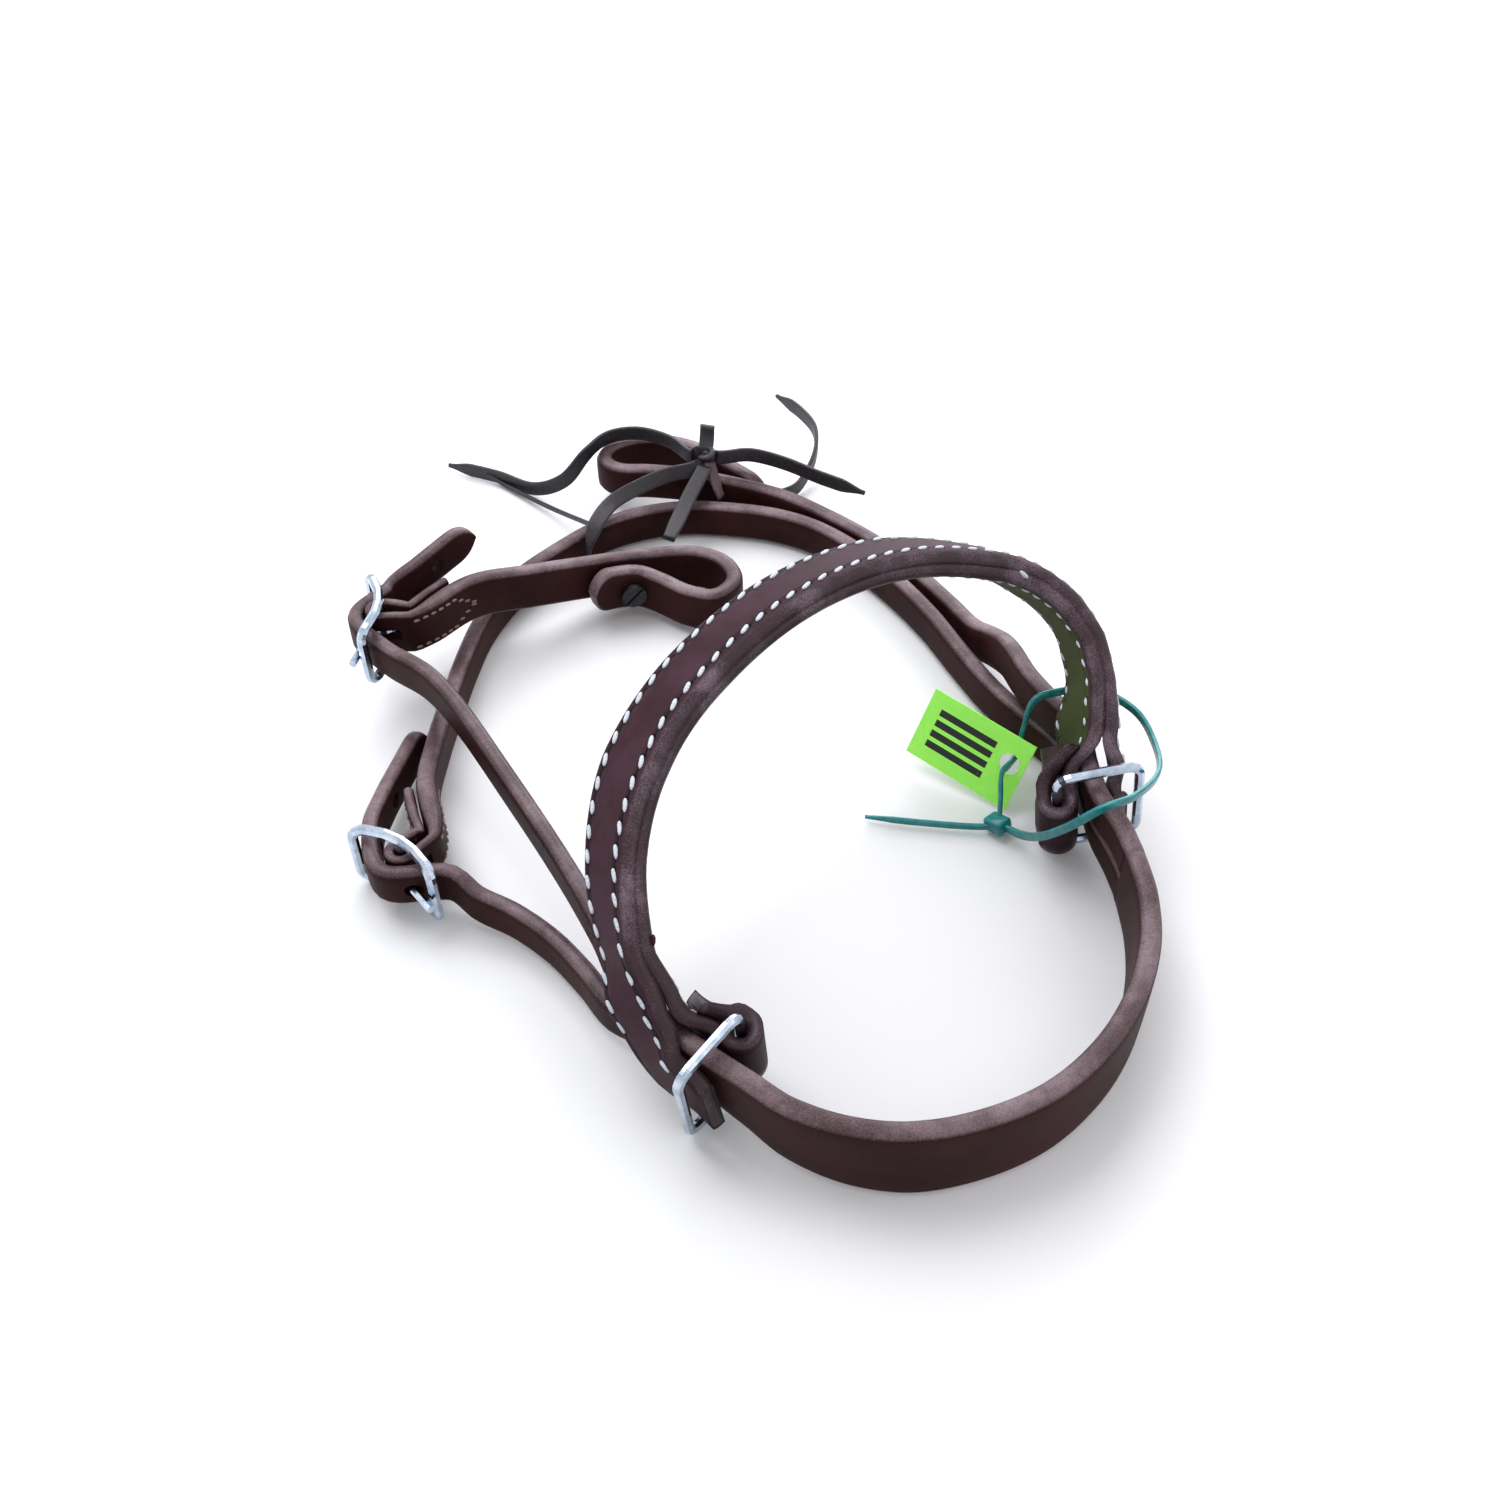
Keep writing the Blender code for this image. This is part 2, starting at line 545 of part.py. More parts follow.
def leather_pieces(mats, cheek_buckle, throat_buckle):
    """The crown with its two billets, the cheeks and the throatlatch."""
    half = (CROWN_W - SPLIT_GAP) / 4
    tail = half + SPLIT_GAP / 2
    crown = Route(CROWN + CROWN_RIGHT)
    joint = crown.station(len(CROWN) - 1)
    body = leather("crown_strap", strip(crown, 0, joint, CROWN_W / 2), STRAP_T, mats["leather"])

    billets = []
    for name, offset, stations, buckle, end in (
            ("throat_billet", -tail, THROAT_BILLET, throat_buckle, THROAT_TAIL),
            ("cheek_billet", tail, CHEEK_BILLET, cheek_buckle, CHEEK_TAIL)):
        rooted = []
        for s in (7.0, 3.0):
            pos, _, wide, _ = crown.at(s)
            rooted.append((*(pos + wide * offset), -crown.lean(s)))
        route = Route(rooted + stations + buckle.threading() + end)
        thin = BILLET_T / STRAP_T
        share = lambda s, root=0.96, full=route.length: mix(root, thin, smooth(s / 60))
        piece = leather(name, strip(route, 0, route.length, half, tip=True, share=share), STRAP_T,
                        mats["leather"], collection=cutters)
        holes = [buckle.hole_cutter()]
        crossing = min(range(int(route.length)),
                       key=lambda s: (route.at(s)[0] - buckle.place(-6, 0, 4.4)).length)
        for step in (-2, -1, 1, 2):
            pos, _, _, face = route.at(crossing + step * HOLE_PITCH)
            holes.append(rod(f"{name}_hole_{step + 2}", pos - face * STRAP_T, pos + face * STRAP_T,
                             HOLE_D, collection=cutters, sides=10))
        billets.append(boolean(piece, holes, "DIFFERENCE"))
    boolean(body, billets, "UNION")

    for name, offset, stations in (("throatlatch_strap", -tail, THROATLATCH),
                                   ("right_cheek_strap", tail, RIGHT_CHEEK)):
        rooted = []
        for k in (0.0, 0.06, 0.25, 0.5, 0.75, 1.0):
            s = mix(joint + SPLIT_GAP, crown.length, k)
            pos, _, wide, _ = crown.at(s)
            rooted.append((*(pos + wide * offset), crown.lean(s)))
        if name == "throatlatch_strap":
            chape(name, rooted + stations, throat_buckle, half, THROAT_LAP_L, mats["leather"])
        else:
            route = Route(rooted + stations + RIGHT_BIT_LOOP)
            leather(name, strip(route, 0, route.length, half, tip=True), STRAP_T, mats["leather"])


def chape(name, stations, buckle, half, lap, mat, tip=False):
    """A strap that ends round a buckle's hinge bar, slotted for the tongue."""
    route = Route(stations + buckle.chape_stations())
    length, thin = route.length, CHAPE_T / STRAP_T

    def share(s):
        return mix(thin, 1.0, smooth((length - s - 5) / 14))

    def follow(back):
        pos, _, wide, face = route.at(length - back)
        apart = share(length - back) * STRAP_T / 2 + CHAPE_T / 2 + GAP + 0.2
        point = pos + face * mix(2 * buckle.fold_radius, apart, smooth(back / 12))
        return point - wide * half, point + wide * half

    rows = strip(route, 0, length, half, share=share)
    rows[-1] = (rows[-1][0], rows[-1][1], thin)
    rows += turned_back(buckle.bar, (buckle.out, buckle.up, buckle.rear), buckle.fold_radius,
                        follow, lap, half, thin)
    piece = leather(name, rows, STRAP_T, mat, rounding=min(EDGE_ROUND, CHAPE_T / 2 - 0.2))
    return boolean(piece, [buckle.slot_cutter()], "DIFFERENCE")


def left_cheek(mats, buckle):
    """The cheek piece on the left: chape, body and the loop that holds the bit, with its screw."""
    stations = [*reversed(LEFT_BIT_LOOP), *reversed(LEFT_CHEEK)]
    piece = chape("left_cheek_strap", stations, buckle, CHEEK_W / 2, CHEEK_LAP_L, mats["leather"])
    near = Vector(SCREW_AT)
    axis = Vector(SCREW_AXIS).normalized()
    far = near + axis * SCREW_SPAN
    hole = rod("screw_hole", near - axis * STRAP_T, far + axis * STRAP_T, 2 * (SCREW_POST_R + GAP),
               collection=cutters)
    boolean(piece, [hole], "DIFFERENCE")
    face = STRAP_T / 2 + SCREW_STAND
    for name, start, end in (("bit_screw_front", near - axis * face, far),
                             ("bit_screw_back", far + axis * face, near)):
        inward = (end - start).normalized()
        head = rod(name, start - inward * SCREW_HEAD_T, start, 2 * SCREW_HEAD_R, mats["screw"],
                   sides=20)
        if name == "bit_screw_back":
            stem = rod("screw_post", start - inward * SCREW_SINK, end, 2 * SCREW_POST_R, collection=cutters)
            bore = rod("screw_bore", start + inward * SCREW_FLOOR, end + inward * SCREW_BORE_PAST,
                       2 * (SCREW_SHANK_R + GAP), collection=cutters)
            boolean(head, [stem], "UNION")
            boolean(head, [bore], "DIFFERENCE")
        else:
            stem = rod("screw_shank", start - inward * SCREW_SINK,
                       start + inward * SCREW_SPAN * SCREW_SHANK_SHARE,
                       2 * SCREW_SHANK_R, collection=cutters)
            slot = box("screw_slot", (2.2 * SCREW_HEAD_R, *SCREW_SLOT),
                       (start - inward * SCREW_HEAD_T, inward.orthogonal().normalized(),
                        inward.cross(inward.orthogonal()).normalized(), inward), collection=cutters)
            boolean(head, [stem], "UNION")
            boolean(head, [slot], "DIFFERENCE")
    return piece


class Browband:
    """Two plies that part round the crown at both ends and hold its metal loops."""

    closed = BROW_PLY_T / 2 + GAP / 2
    parted = STRAP_T / 2 + PLY_CLEAR + BROW_PLY_T / 2
    fold_radius = LOOP_WIRE / 2 + GAP + BROW_PLY_T / 2

    def __init__(self):
        self.route = Route(BROWBAND)
        self.half = BROW_W / 2

    def spread(self, s):
        """How far the low and the high edge of a ply lie from the middle, at length s."""
        near = min(s, self.route.length - s)
        high = mix(self.parted, self.closed, smooth((near - PARTED_L) / (HIGH_SHUT_L - PARTED_L)))
        flare = FLARE * smooth((near - TAB_L) / 12)
        low = mix(self.parted + flare, self.closed,
                  smooth((near - LOW_PARTED_L) / (LOW_SHUT_L - LOW_PARTED_L)))
        return low, high

    def skew(self, s):
        """How much further towards the nearer end the low edge lies than the middle."""
        near = min(s, self.route.length - s)
        amount = 1 - smooth((near - TAB_L) / SKEW_L)
        return SKEW_LEFT * amount if s < self.route.length / 2 else -SKEW_RIGHT * amount

    def row(self, s, side, extra=0.0):
        """Low and high edge of a ply at length s; side is 1 inside the head opening, -1 outside."""
        low, high = self.spread(s)
        shift = self.skew(s)
        pos_low, _, wide_low, face_low = self.route.at(s - shift)
        pos_high, _, wide_high, face_high = self.route.at(s + shift)
        return (pos_low - wide_low * self.half + face_low * side * (low + extra),
                pos_high + wide_high * self.half + face_high * side * (high + extra))

    def ply(self, name, start, end, side, mat):
        rows = [(*self.row(s, side), 1.0) for s in self.route.stops(start, end)]
        if side > 0:
            rows = self.fold(start, 1, True) + rows + self.fold(end, -1, False)
        return leather(name, rows, BROW_PLY_T, mat)

    def loop_frame(self, at, inward):
        """Middle of a metal loop, and its directions out past the end, up and inwards."""
        low, high = self.row(at, 0)
        low_in, high_in = self.row(at, 1)
        up = (high - low).normalized()
        side = ((low_in + high_in) - (low + high)).normalized()
        side = (side - up * side.dot(up)).normalized()
        out = side.cross(up) * (1 if self.route.at(at)[1].dot(side.cross(up)) * inward < 0 else -1)
        return (low + high) / 2, out, up, side

    def fold(self, at, inward, reverse):
        """The inner ply's end turns round the loop's inner bar and lies back on the inside."""
        centre, out, up, side = self.loop_frame(at, inward)
        bar = centre + side * (self.parted + self.fold_radius)
        low, high = self.row(at, 1)
        half = (high - low).length / 2

        def follow(back):
            extra = mix(2 * self.fold_radius, BROW_PLY_T + GAP, smooth(back / (FLAP_L * 0.7)))
            return self.row(at + inward * back, 1, extra)

        rows = turned_back(bar, (out, up, side), self.fold_radius, follow, FLAP_L, half, 1.0)
        return rows[::-1] if reverse else rows

    def metal_loop(self, name, at, inward, mat):
        """A rectangular ring round both plies and the crown; it pivots in the inner ply's fold."""
        centre, out, up, side = self.loop_frame(at, inward)
        lift, slack = ((LOOP_LIFT_LEFT, LOOP_SLACK_LEFT) if inward > 0 else
                       (LOOP_LIFT_RIGHT, LOOP_SLACK_RIGHT))
        centre += up * lift
        across = self.parted + self.fold_radius
        tall = CROWN_W / 2 + LOOP_ROOM + LOOP_WIRE / 2
        outline = rounded_rectangle(-across - slack, across, tall, LOOP_CORNER)
        points = [centre + side * x + up * y for x, y in outline]
        ring = tube(name, points, LOOP_WIRE, mat, cyclic=True)
        set_origin(ring, centre + side * across)
        return ring


def knot(mats):
    """The tie's knot on top of the right bit loop: the thong wound round itself."""
    centre = Vector(KNOT)
    points = []
    for k in range(KNOT_FACETS + 1):
        turn = KNOT_TURNS * k / KNOT_FACETS
        angle = 2 * math.pi * turn + 0.6
        rise = Vector((0, 0, (turn - KNOT_TURNS / 2) * (LACE_D + 2 * GAP)))
        points.append(centre + Vector((math.cos(angle), math.sin(angle), 0)) * KNOT_R + rise)
    tube("lace_knot", points, LACE_D, mats["lace"])


def build_all():
    clear_scene()
    mats = {
        "leather": material("harness_leather", (0.085, 0.035, 0.032), 0.62),
        "metal": material("nickel_plate", (0.72, 0.76, 0.80), 0.18, 1.0),
        "lace": material("lace_leather", (0.030, 0.020, 0.024), 0.70),
        "screw": material("black_screw", (0.02, 0.02, 0.022), 0.35, 0.8),
        "tie": material("nylon_tie", (0.02, 0.17, 0.15), 0.35),
        "tag": material("tag_card", (0.40, 0.95, 0.15), 0.6),
    }
    cheek_buckle = Buckle("cheek_buckle", *CHEEK_BUCKLE)
    throat_buckle = Buckle("throat_buckle", *THROAT_BUCKLE)
    leather_pieces(mats, cheek_buckle, throat_buckle)
    left_cheek(mats, cheek_buckle)
    for buckle in (cheek_buckle, throat_buckle):
        buckle.frame(mats["metal"])
        buckle.tongue(mats["metal"])

    band = Browband()
    length = band.route.length
    band.ply("browband_outer_ply", 0, length, -1, mats["leather"])
    band.ply("browband_inner_ply", TAB_L, length - TAB_L, 1, mats["leather"])
    band.metal_loop("browband_loop_left", TAB_L, 1, mats["metal"])
    band.metal_loop("browband_loop_right", length - TAB_L, -1, mats["metal"])

    for name, stations in LACES.items():
        cord(name, stations, LACE_D, mats["lace"])
    knot(mats)
    price_tag(mats, cable_tie(mats))


def cable_tie(mats):
    """Nylon tie through the tag's hole: strap, ratchet head and cut tail in one moulding."""
    head = Vector(TIE_HEAD_AT)
    forward = (Vector(TIE_LOOP[0]) - head).normalized()
    side = Vector((0, 0, 1)).cross(forward).normalized()
    block = box("cable_tie", TIE_HEAD, (head, forward, side, forward.cross(side)), mats["tie"],
                rounding=TIE_HEAD_ROUND)
    route = Route([tuple(head), *TIE_LOOP, tuple(head + Vector((0.6, 1.2, 0.4)))])
    count = round(route.length / TIE_STEP)
    loop = tube("tie_loop", [route.at(route.length * k / count)[0] for k in range(count + 1)], TIE_D,
                collection=cutters)
    tail_route = Route([tuple(head), *TIE_TAIL])
    tail = tube("tie_tail", [tail_route.at(tail_route.length * k / 6)[0] for k in range(7)], TIE_TAIL_D,
                collection=cutters)
    tie = boolean(block, [loop, tail], "UNION")
    set_origin(tie, Vector(TIE_PIVOT))
    return route


def price_tag(mats, route):
    """Plain card, hung on the tie where the tie's rear strand crosses it."""
    along = Vector(TAG_LONG).normalized()
    level = Vector((0, 0, 1)).cross(along).normalized()
    steep = math.radians(TAG_STEEP)
    across = (level * math.cos(steep) + level.cross(along) * -math.sin(steep)).normalized()
    face = along.cross(across)
    centre = Vector(TAG_END_AT) - along * (TAG_SIZE[0] / 2)
    card = box("price_tag", TAG_SIZE, (centre, along, across, face), mats["tag"])
    samples = [route.at(mix(0.8, 0.96, k / 80) * route.length)[0] for k in range(81)]
    crossing = min(samples, key=lambda p: abs((p - centre).dot(face)))
    hole = rod("tag_hole", crossing - face * 3, crossing + face * 3, TAG_HOLE_D, collection=cutters,
               sides=16)
    card = boolean(card, [hole], "DIFFERENCE")
    set_origin(card, crossing)


def settle():
    """Move everything so that the solid pieces stand centred on the origin, down on the ground."""
    rigid = [obj for obj in part.objects if obj.name not in LACES]
    spots = [obj.matrix_basis @ vert.co for obj in rigid for vert in obj.data.vertices]
    low = Vector([min(spot[k] for spot in spots) for k in range(3)])
    high = Vector([max(spot[k] for spot in spots) for k in range(3)])
    shift = Vector(((low.x + high.x) / 2, (low.y + high.y) / 2, low.z))
    for obj in part.objects:
        if obj.location.length > 0:
            obj.location -= shift
        else:
            obj.data.transform(Matrix.Translation(-shift))


build_all()
settle()
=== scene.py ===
import math

import bmesh
import bpy
from mathutils import Matrix, Vector


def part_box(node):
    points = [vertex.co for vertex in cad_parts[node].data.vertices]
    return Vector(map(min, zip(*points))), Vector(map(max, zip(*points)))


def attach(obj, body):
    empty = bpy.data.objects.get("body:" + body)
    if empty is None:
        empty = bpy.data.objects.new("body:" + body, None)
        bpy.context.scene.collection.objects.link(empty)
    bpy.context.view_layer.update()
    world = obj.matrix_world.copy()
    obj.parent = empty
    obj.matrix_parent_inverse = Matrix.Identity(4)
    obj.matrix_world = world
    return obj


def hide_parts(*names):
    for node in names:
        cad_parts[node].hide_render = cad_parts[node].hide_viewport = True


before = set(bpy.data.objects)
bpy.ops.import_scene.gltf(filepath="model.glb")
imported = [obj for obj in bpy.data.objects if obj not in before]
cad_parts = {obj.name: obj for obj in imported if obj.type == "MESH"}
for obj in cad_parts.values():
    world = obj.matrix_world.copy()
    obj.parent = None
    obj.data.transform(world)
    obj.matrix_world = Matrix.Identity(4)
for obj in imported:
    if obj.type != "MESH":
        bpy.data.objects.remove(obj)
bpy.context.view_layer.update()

# Camera: the photograph looks 45 degrees down along +Y. It is square, so 36 mm on a 36 mm sensor.
camera = bpy.data.objects.new("camera", bpy.data.cameras.new("camera"))
bpy.context.scene.collection.objects.link(camera)
camera.location = (0.004088, -0.298809, 0.299892)
camera.rotation_euler = (math.radians(45), 0, 0)
camera.data.lens = 36
camera.data.sensor_width = 36
camera.data.clip_start = 0.005
bpy.context.scene.camera = camera


# Curves: the part's own centrelines, in millimetres, moved as the part is moved on the ground.
SHIFT = Vector((-0.912, 1.191, -0.108))
MM = 0.001


def smooth(x):
    x = min(max(x, 0.0), 1.0)
    return x * x * (3 - 2 * x)


def mix(a, b, x):
    return a + (b - a) * x


def through(a, b, c, d, u):
    near = (c - b).length
    leave = (c - a) * (near / ((b - a).length + near))
    reach = (d - b) * (near / ((d - c).length + near))
    return (b * (2 * u**3 - 3 * u**2 + 1) + leave * (u**3 - 2 * u**2 + u)
            + c * (3 * u**2 - 2 * u**3) + reach * (u**3 - u**2))


class Route:
    """A smooth centreline through stations of x, y, z and lean."""

    def __init__(self, stations):
        knots = [(Vector(s[:3]), s[3] if len(s) > 3 else 0.0) for s in stations]
        before = (knots[0][0] * 2 - knots[1][0], knots[0][1])
        after = (knots[-1][0] * 2 - knots[-2][0], knots[-1][1])
        knots = [before, *knots, after]
        self.points, self.leans, self.lengths = [], [], [0.0]
        for a, b, c, d in zip(knots, knots[1:], knots[2:], knots[3:]):
            for k in range(12):
                self.points.append(through(a[0], b[0], c[0], d[0], k / 12))
                self.leans.append(mix(b[1], c[1], k / 12))
        self.points.append(knots[-2][0])
        self.leans.append(knots[-2][1])
        for a, b in zip(self.points, self.points[1:]):
            self.lengths.append(self.lengths[-1] + (b - a).length)
        self.length = self.lengths[-1]

    def station(self, index):
        return self.lengths[12 * index]

    def at(self, s):
        """Position, then the directions along, across and out of the face."""
        i = max([k for k in range(len(self.points) - 1) if self.lengths[k] <= s] or [0])
        u = (s - self.lengths[i]) / (self.lengths[i + 1] - self.lengths[i])
        share = min(max(u, 0), 1)
        a, b = self.points[i], self.points[i + 1]
        before, after = self.points[max(i - 1, 0)], self.points[min(i + 2, len(self.points) - 1)]
        along = (b - before).normalized().lerp((after - a).normalized(), share).normalized()
        lean = math.radians(mix(self.leans[i], self.leans[i + 1], share))
        up = (Vector((0, 0, 1)) - along * along.z).normalized()
        wide = up * math.cos(lean) + along.cross(up) * math.sin(lean)
        return a + (b - a) * u, along, wide, along.cross(wide)

    def lean(self, s):
        i = max([k for k in range(len(self.points) - 1) if self.lengths[k] <= s] or [0])
        u = (s - self.lengths[i]) / (self.lengths[i + 1] - self.lengths[i])
        return mix(self.leans[i], self.leans[i + 1], min(max(u, 0), 1))

    def steps(self, start, end, step=2.0):
        count = max(2, round((end - start) / step))
        return [mix(start, end, k / count) for k in range(count + 1)]


# Shader maths: wraps a socket so that formulas read as formulas.
class Sum:
    def __init__(self, tree, socket):
        self.tree, self.socket = tree, socket

    def _math(self, kind, *others):
        node = self.tree.nodes.new("ShaderNodeMath")
        node.operation = kind
        for slot, value in zip(node.inputs, (self, *others)):
            if isinstance(value, Sum):
                self.tree.links.new(value.socket, slot)
            else:
                slot.default_value = value
        return Sum(self.tree, node.outputs[0])

    def __add__(self, o): return self._math("ADD", o)
    def __sub__(self, o): return self._math("SUBTRACT", o)
    def __mul__(self, o): return self._math("MULTIPLY", o)
    def __truediv__(self, o): return self._math("DIVIDE", o)
    def __neg__(self): return self * -1.0
    def abs(self): return self._math("ABSOLUTE")
    def fract(self): return self._math("FRACT")
    def max(self, o): return self._math("MAXIMUM", o)
    def min(self, o): return self._math("MINIMUM", o)
    def over(self, o): return self._math("GREATER_THAN", o)

    def ramp(self, low, high):
        node = self.tree.nodes.new("ShaderNodeMapRange")
        node.interpolation_type = "SMOOTHSTEP"
        self.tree.links.new(self.socket, node.inputs["Value"])
        node.inputs["From Min"].default_value = low
        node.inputs["From Max"].default_value = high
        return Sum(self.tree, node.outputs["Result"])


class Look:
    """A Principled material and the fields that its formulas start from."""

    def __init__(self, name, roughness=0.5, metallic=0.0, **fixed):
        self.mat = bpy.data.materials.new(name)
        self.mat.use_nodes = True
        self.tree = self.mat.node_tree
        self.bsdf = self.tree.nodes["Principled BSDF"]
        self.bsdf.inputs["Roughness"].default_value = roughness
        self.bsdf.inputs["Metallic"].default_value = metallic
        for key, value in fixed.items():
            self.bsdf.inputs[key.replace("_", " ")].default_value = value
        self.where = self.tree.nodes.new("ShaderNodeTexCoord").outputs["Object"]

    def strip(self):
        """Millimetres along and across a strap, and how far a point is round its cut edge."""
        out = []
        for key in ("strip", "rim"):
            node = self.tree.nodes.new("ShaderNodeAttribute")
            node.attribute_name = key
            out.append(node)
        split = self.tree.nodes.new("ShaderNodeSeparateXYZ")
        self.tree.links.new(out[0].outputs["Vector"], split.inputs[0])
        return (*[Sum(self.tree, split.outputs[k]) for k in range(3)], Sum(self.tree, out[1].outputs["Fac"]))

    def noise(self, per_mm, detail=4.0, rough=0.6, stretch=(1, 1, 1), where=None):
        turn = self.tree.nodes.new("ShaderNodeMapping")
        turn.inputs["Scale"].default_value = [1000 * per_mm * k for k in stretch]
        self.tree.links.new(where or self.where, turn.inputs["Vector"])
        node = self.tree.nodes.new("ShaderNodeTexNoise")
        node.inputs["Scale"].default_value = 1.0
        node.inputs["Detail"].default_value = detail
        node.inputs["Roughness"].default_value = rough
        self.tree.links.new(turn.outputs[0], node.inputs["Vector"])
        return Sum(self.tree, node.outputs["Fac"])

    def blend(self, share, a, b):
        node = self.tree.nodes.new("ShaderNodeMix")
        node.data_type = "RGBA"
        self.tree.links.new(share.socket, node.inputs[0])
        for slot, value in ((node.inputs[6], a), (node.inputs[7], b)):
            if isinstance(value, tuple):
                slot.default_value = (*value, 1.0)
            else:
                self.tree.links.new(value, slot)
        return node.outputs[2]

    def set(self, key, value):
        self.tree.links.new(value.socket if isinstance(value, Sum) else value, self.bsdf.inputs[key])

    def bump(self, height, depth_mm, strength=1.0):
        node = self.tree.nodes.new("ShaderNodeBump")
        node.inputs["Strength"].default_value = strength
        node.inputs["Distance"].default_value = depth_mm * MM
        self.tree.links.new(height.socket, node.inputs["Height"])
        self.tree.links.new(node.outputs[0], self.bsdf.inputs["Normal"])


# Harness leather: dark oiled faces with fine pores, and paler, fuzzy cut edges whose pale colour is partly painted
# sheen.
def harness(name, stitched=0.0, face=(0.022, 0.0052, 0.0052), tint=(0.042, 0.0125, 0.0125),
            edge_dark=(0.056, 0.0250, 0.0280), edge_fuzz_and_painted_sheen=(0.300, 0.212, 0.232), speckle=(0.30, 0.78), painted_tag_reflection=False):
    look = Look(name, Specular_IOR_Level=0.08, Coat_Roughness=0.36)
    s, w, half, rim = look.strip()
    cloud = look.noise(0.05, 3).ramp(0.35, 0.68)
    pores = look.noise(1.6, 5, 0.7)
    fuzz = look.noise(2.6, 6, 0.8)
    drag = look.noise(0.5, 4, 0.7, stretch=(1, 1, 0.25))
    skin = look.blend(cloud, face, tint)
    skin = look.blend(pores.ramp(0.62, 0.78) * 0.35, skin, (0.105, 0.044, 0.037))
    # The pale colour of the cut edges is partly their fuzzy fibres and partly painted sheen.
    cut = look.blend((fuzz * 0.8 + cloud * 0.22).ramp(*speckle), edge_dark, edge_fuzz_and_painted_sheen)
    cut = look.blend(drag.ramp(0.45, 0.75) * 0.5, cut, (0.035, 0.018, 0.019))
    edge = (rim + (fuzz - 0.5) * 0.5).ramp(0.25, 0.72)
    colour = look.blend(edge, skin, cut)
    height = pores * 0.5 + fuzz * edge * 1.4
    if stitched:
        line = (w.abs() - (half - 3.0)).abs()
        flat = rim.ramp(0.15, 0.02)
        held = s.ramp(12.0, 13.5) * (s - (stitched - 13.5)).ramp(1.5, 0.0) * flat
        groove_depth_and_painted_shade = line.ramp(1.5, 0.4) * held
        beat = (((s - 30.0 + w * 0.30) / 5.08).fract() - 0.5).abs()
        hole_depth_and_painted_shade = beat.ramp(0.26, 0.14) * line.ramp(0.85, 0.55) * held
        slit_painted_shade = line.ramp(0.50, 0.22) * held
        # Painted shade: the stitch groove, the slit between the stitches and the stitch holes are darkened almost to
        # black.
        colour = look.blend((groove_depth_and_painted_shade * 0.25 + slit_painted_shade * 0.75 + hole_depth_and_painted_shade * 0.95).min(1.0), colour, (0.0030, 0.0015, 0.0015))
        height = height - groove_depth_and_painted_shade * 2.5 - hole_depth_and_painted_shade * 4.0
    if painted_tag_reflection:
        # Painted reflection: near the band's far end the inner ply's faces, not its cut edges, are tinted olive green
        # with the tag's light, fading in from 108 mm to 70 mm before the end.
        near = s.ramp(stitched - 108.0, stitched - 70.0) * rim.ramp(0.30, 0.05)
        colour = look.blend(near * 0.85, colour, (0.058, 0.078, 0.021))
    look.set("Base Color", colour)
    look.set("Roughness", (pores * 0.16 + edge * 0.26 + cloud * 0.06 + 0.42).min(0.95))
    look.set("Coat Weight", edge * 0.55)
    look.bump(height, 0.22, 0.7)
    return look.mat


leather_look = harness("leather_look")


# Straps: a rounded section extruded from row to row. A row is low edge, high edge, thickness share.
def section(half, thick, rounding, square=0, facets=4, across=6):
    """Points round a strap's section: across, out of the face, and how far round the cut edge.

    square names the face, 1 or -1, whose corners stay sharp because it meets another ply.
    """
    if square:
        return mated(half, thick, min(rounding * 1.5, half * 0.9, thick * 0.9), square, facets, across)
    r = min(rounding, half * 0.9, thick / 2)
    found = []
    for side in (1, -1):
        for k in range(across + 1):
            w = side * mix(half - r, -(half - r), k / across)
            swell = 0.05 * (1 - (w / half) ** 2)
            found.append((w, side * thick / 2 * (0.95 + swell), 0.0))
        for k in range(1, 2 * facets):
            angle = math.pi * k / (2 * facets)
            straight = max(thick / 2 - r, 0)
            out = side * (straight * (1 if angle < math.pi / 2 else -1) + r * math.cos(angle)) * 0.95
            found.append((-side * (half - r + r * math.sin(angle)), out, math.sin(angle)))
    return found


def mated(half, thick, r, square, facets, across):
    """A section rounded on its outer face only; the other face lies flat on the ply beside it."""
    outer, found = -square, []
    for k in range(across + 1):
        w = mix(half - r, -(half - r), k / across)
        found.append((w, outer * thick / 2, 0.0))
    for k in range(1, facets + 1):
        angle = math.pi / 2 * k / facets
        found.append((-(half - r + r * math.sin(angle)), outer * (thick / 2 - r + r * math.cos(angle)), math.sin(angle)))
    found.append((-half, square * thick / 2, 1.0))
    for k in range(1, across):
        found.append((mix(-half, half, k / across), square * thick / 2, 0.0))
    found.append((half, square * thick / 2, 1.0))
    for k in range(facets, 0, -1):
        angle = math.pi / 2 * k / facets
        found.append((half - r + r * math.sin(angle), outer * (thick / 2 - r + r * math.cos(angle)), math.sin(angle)))
    return found


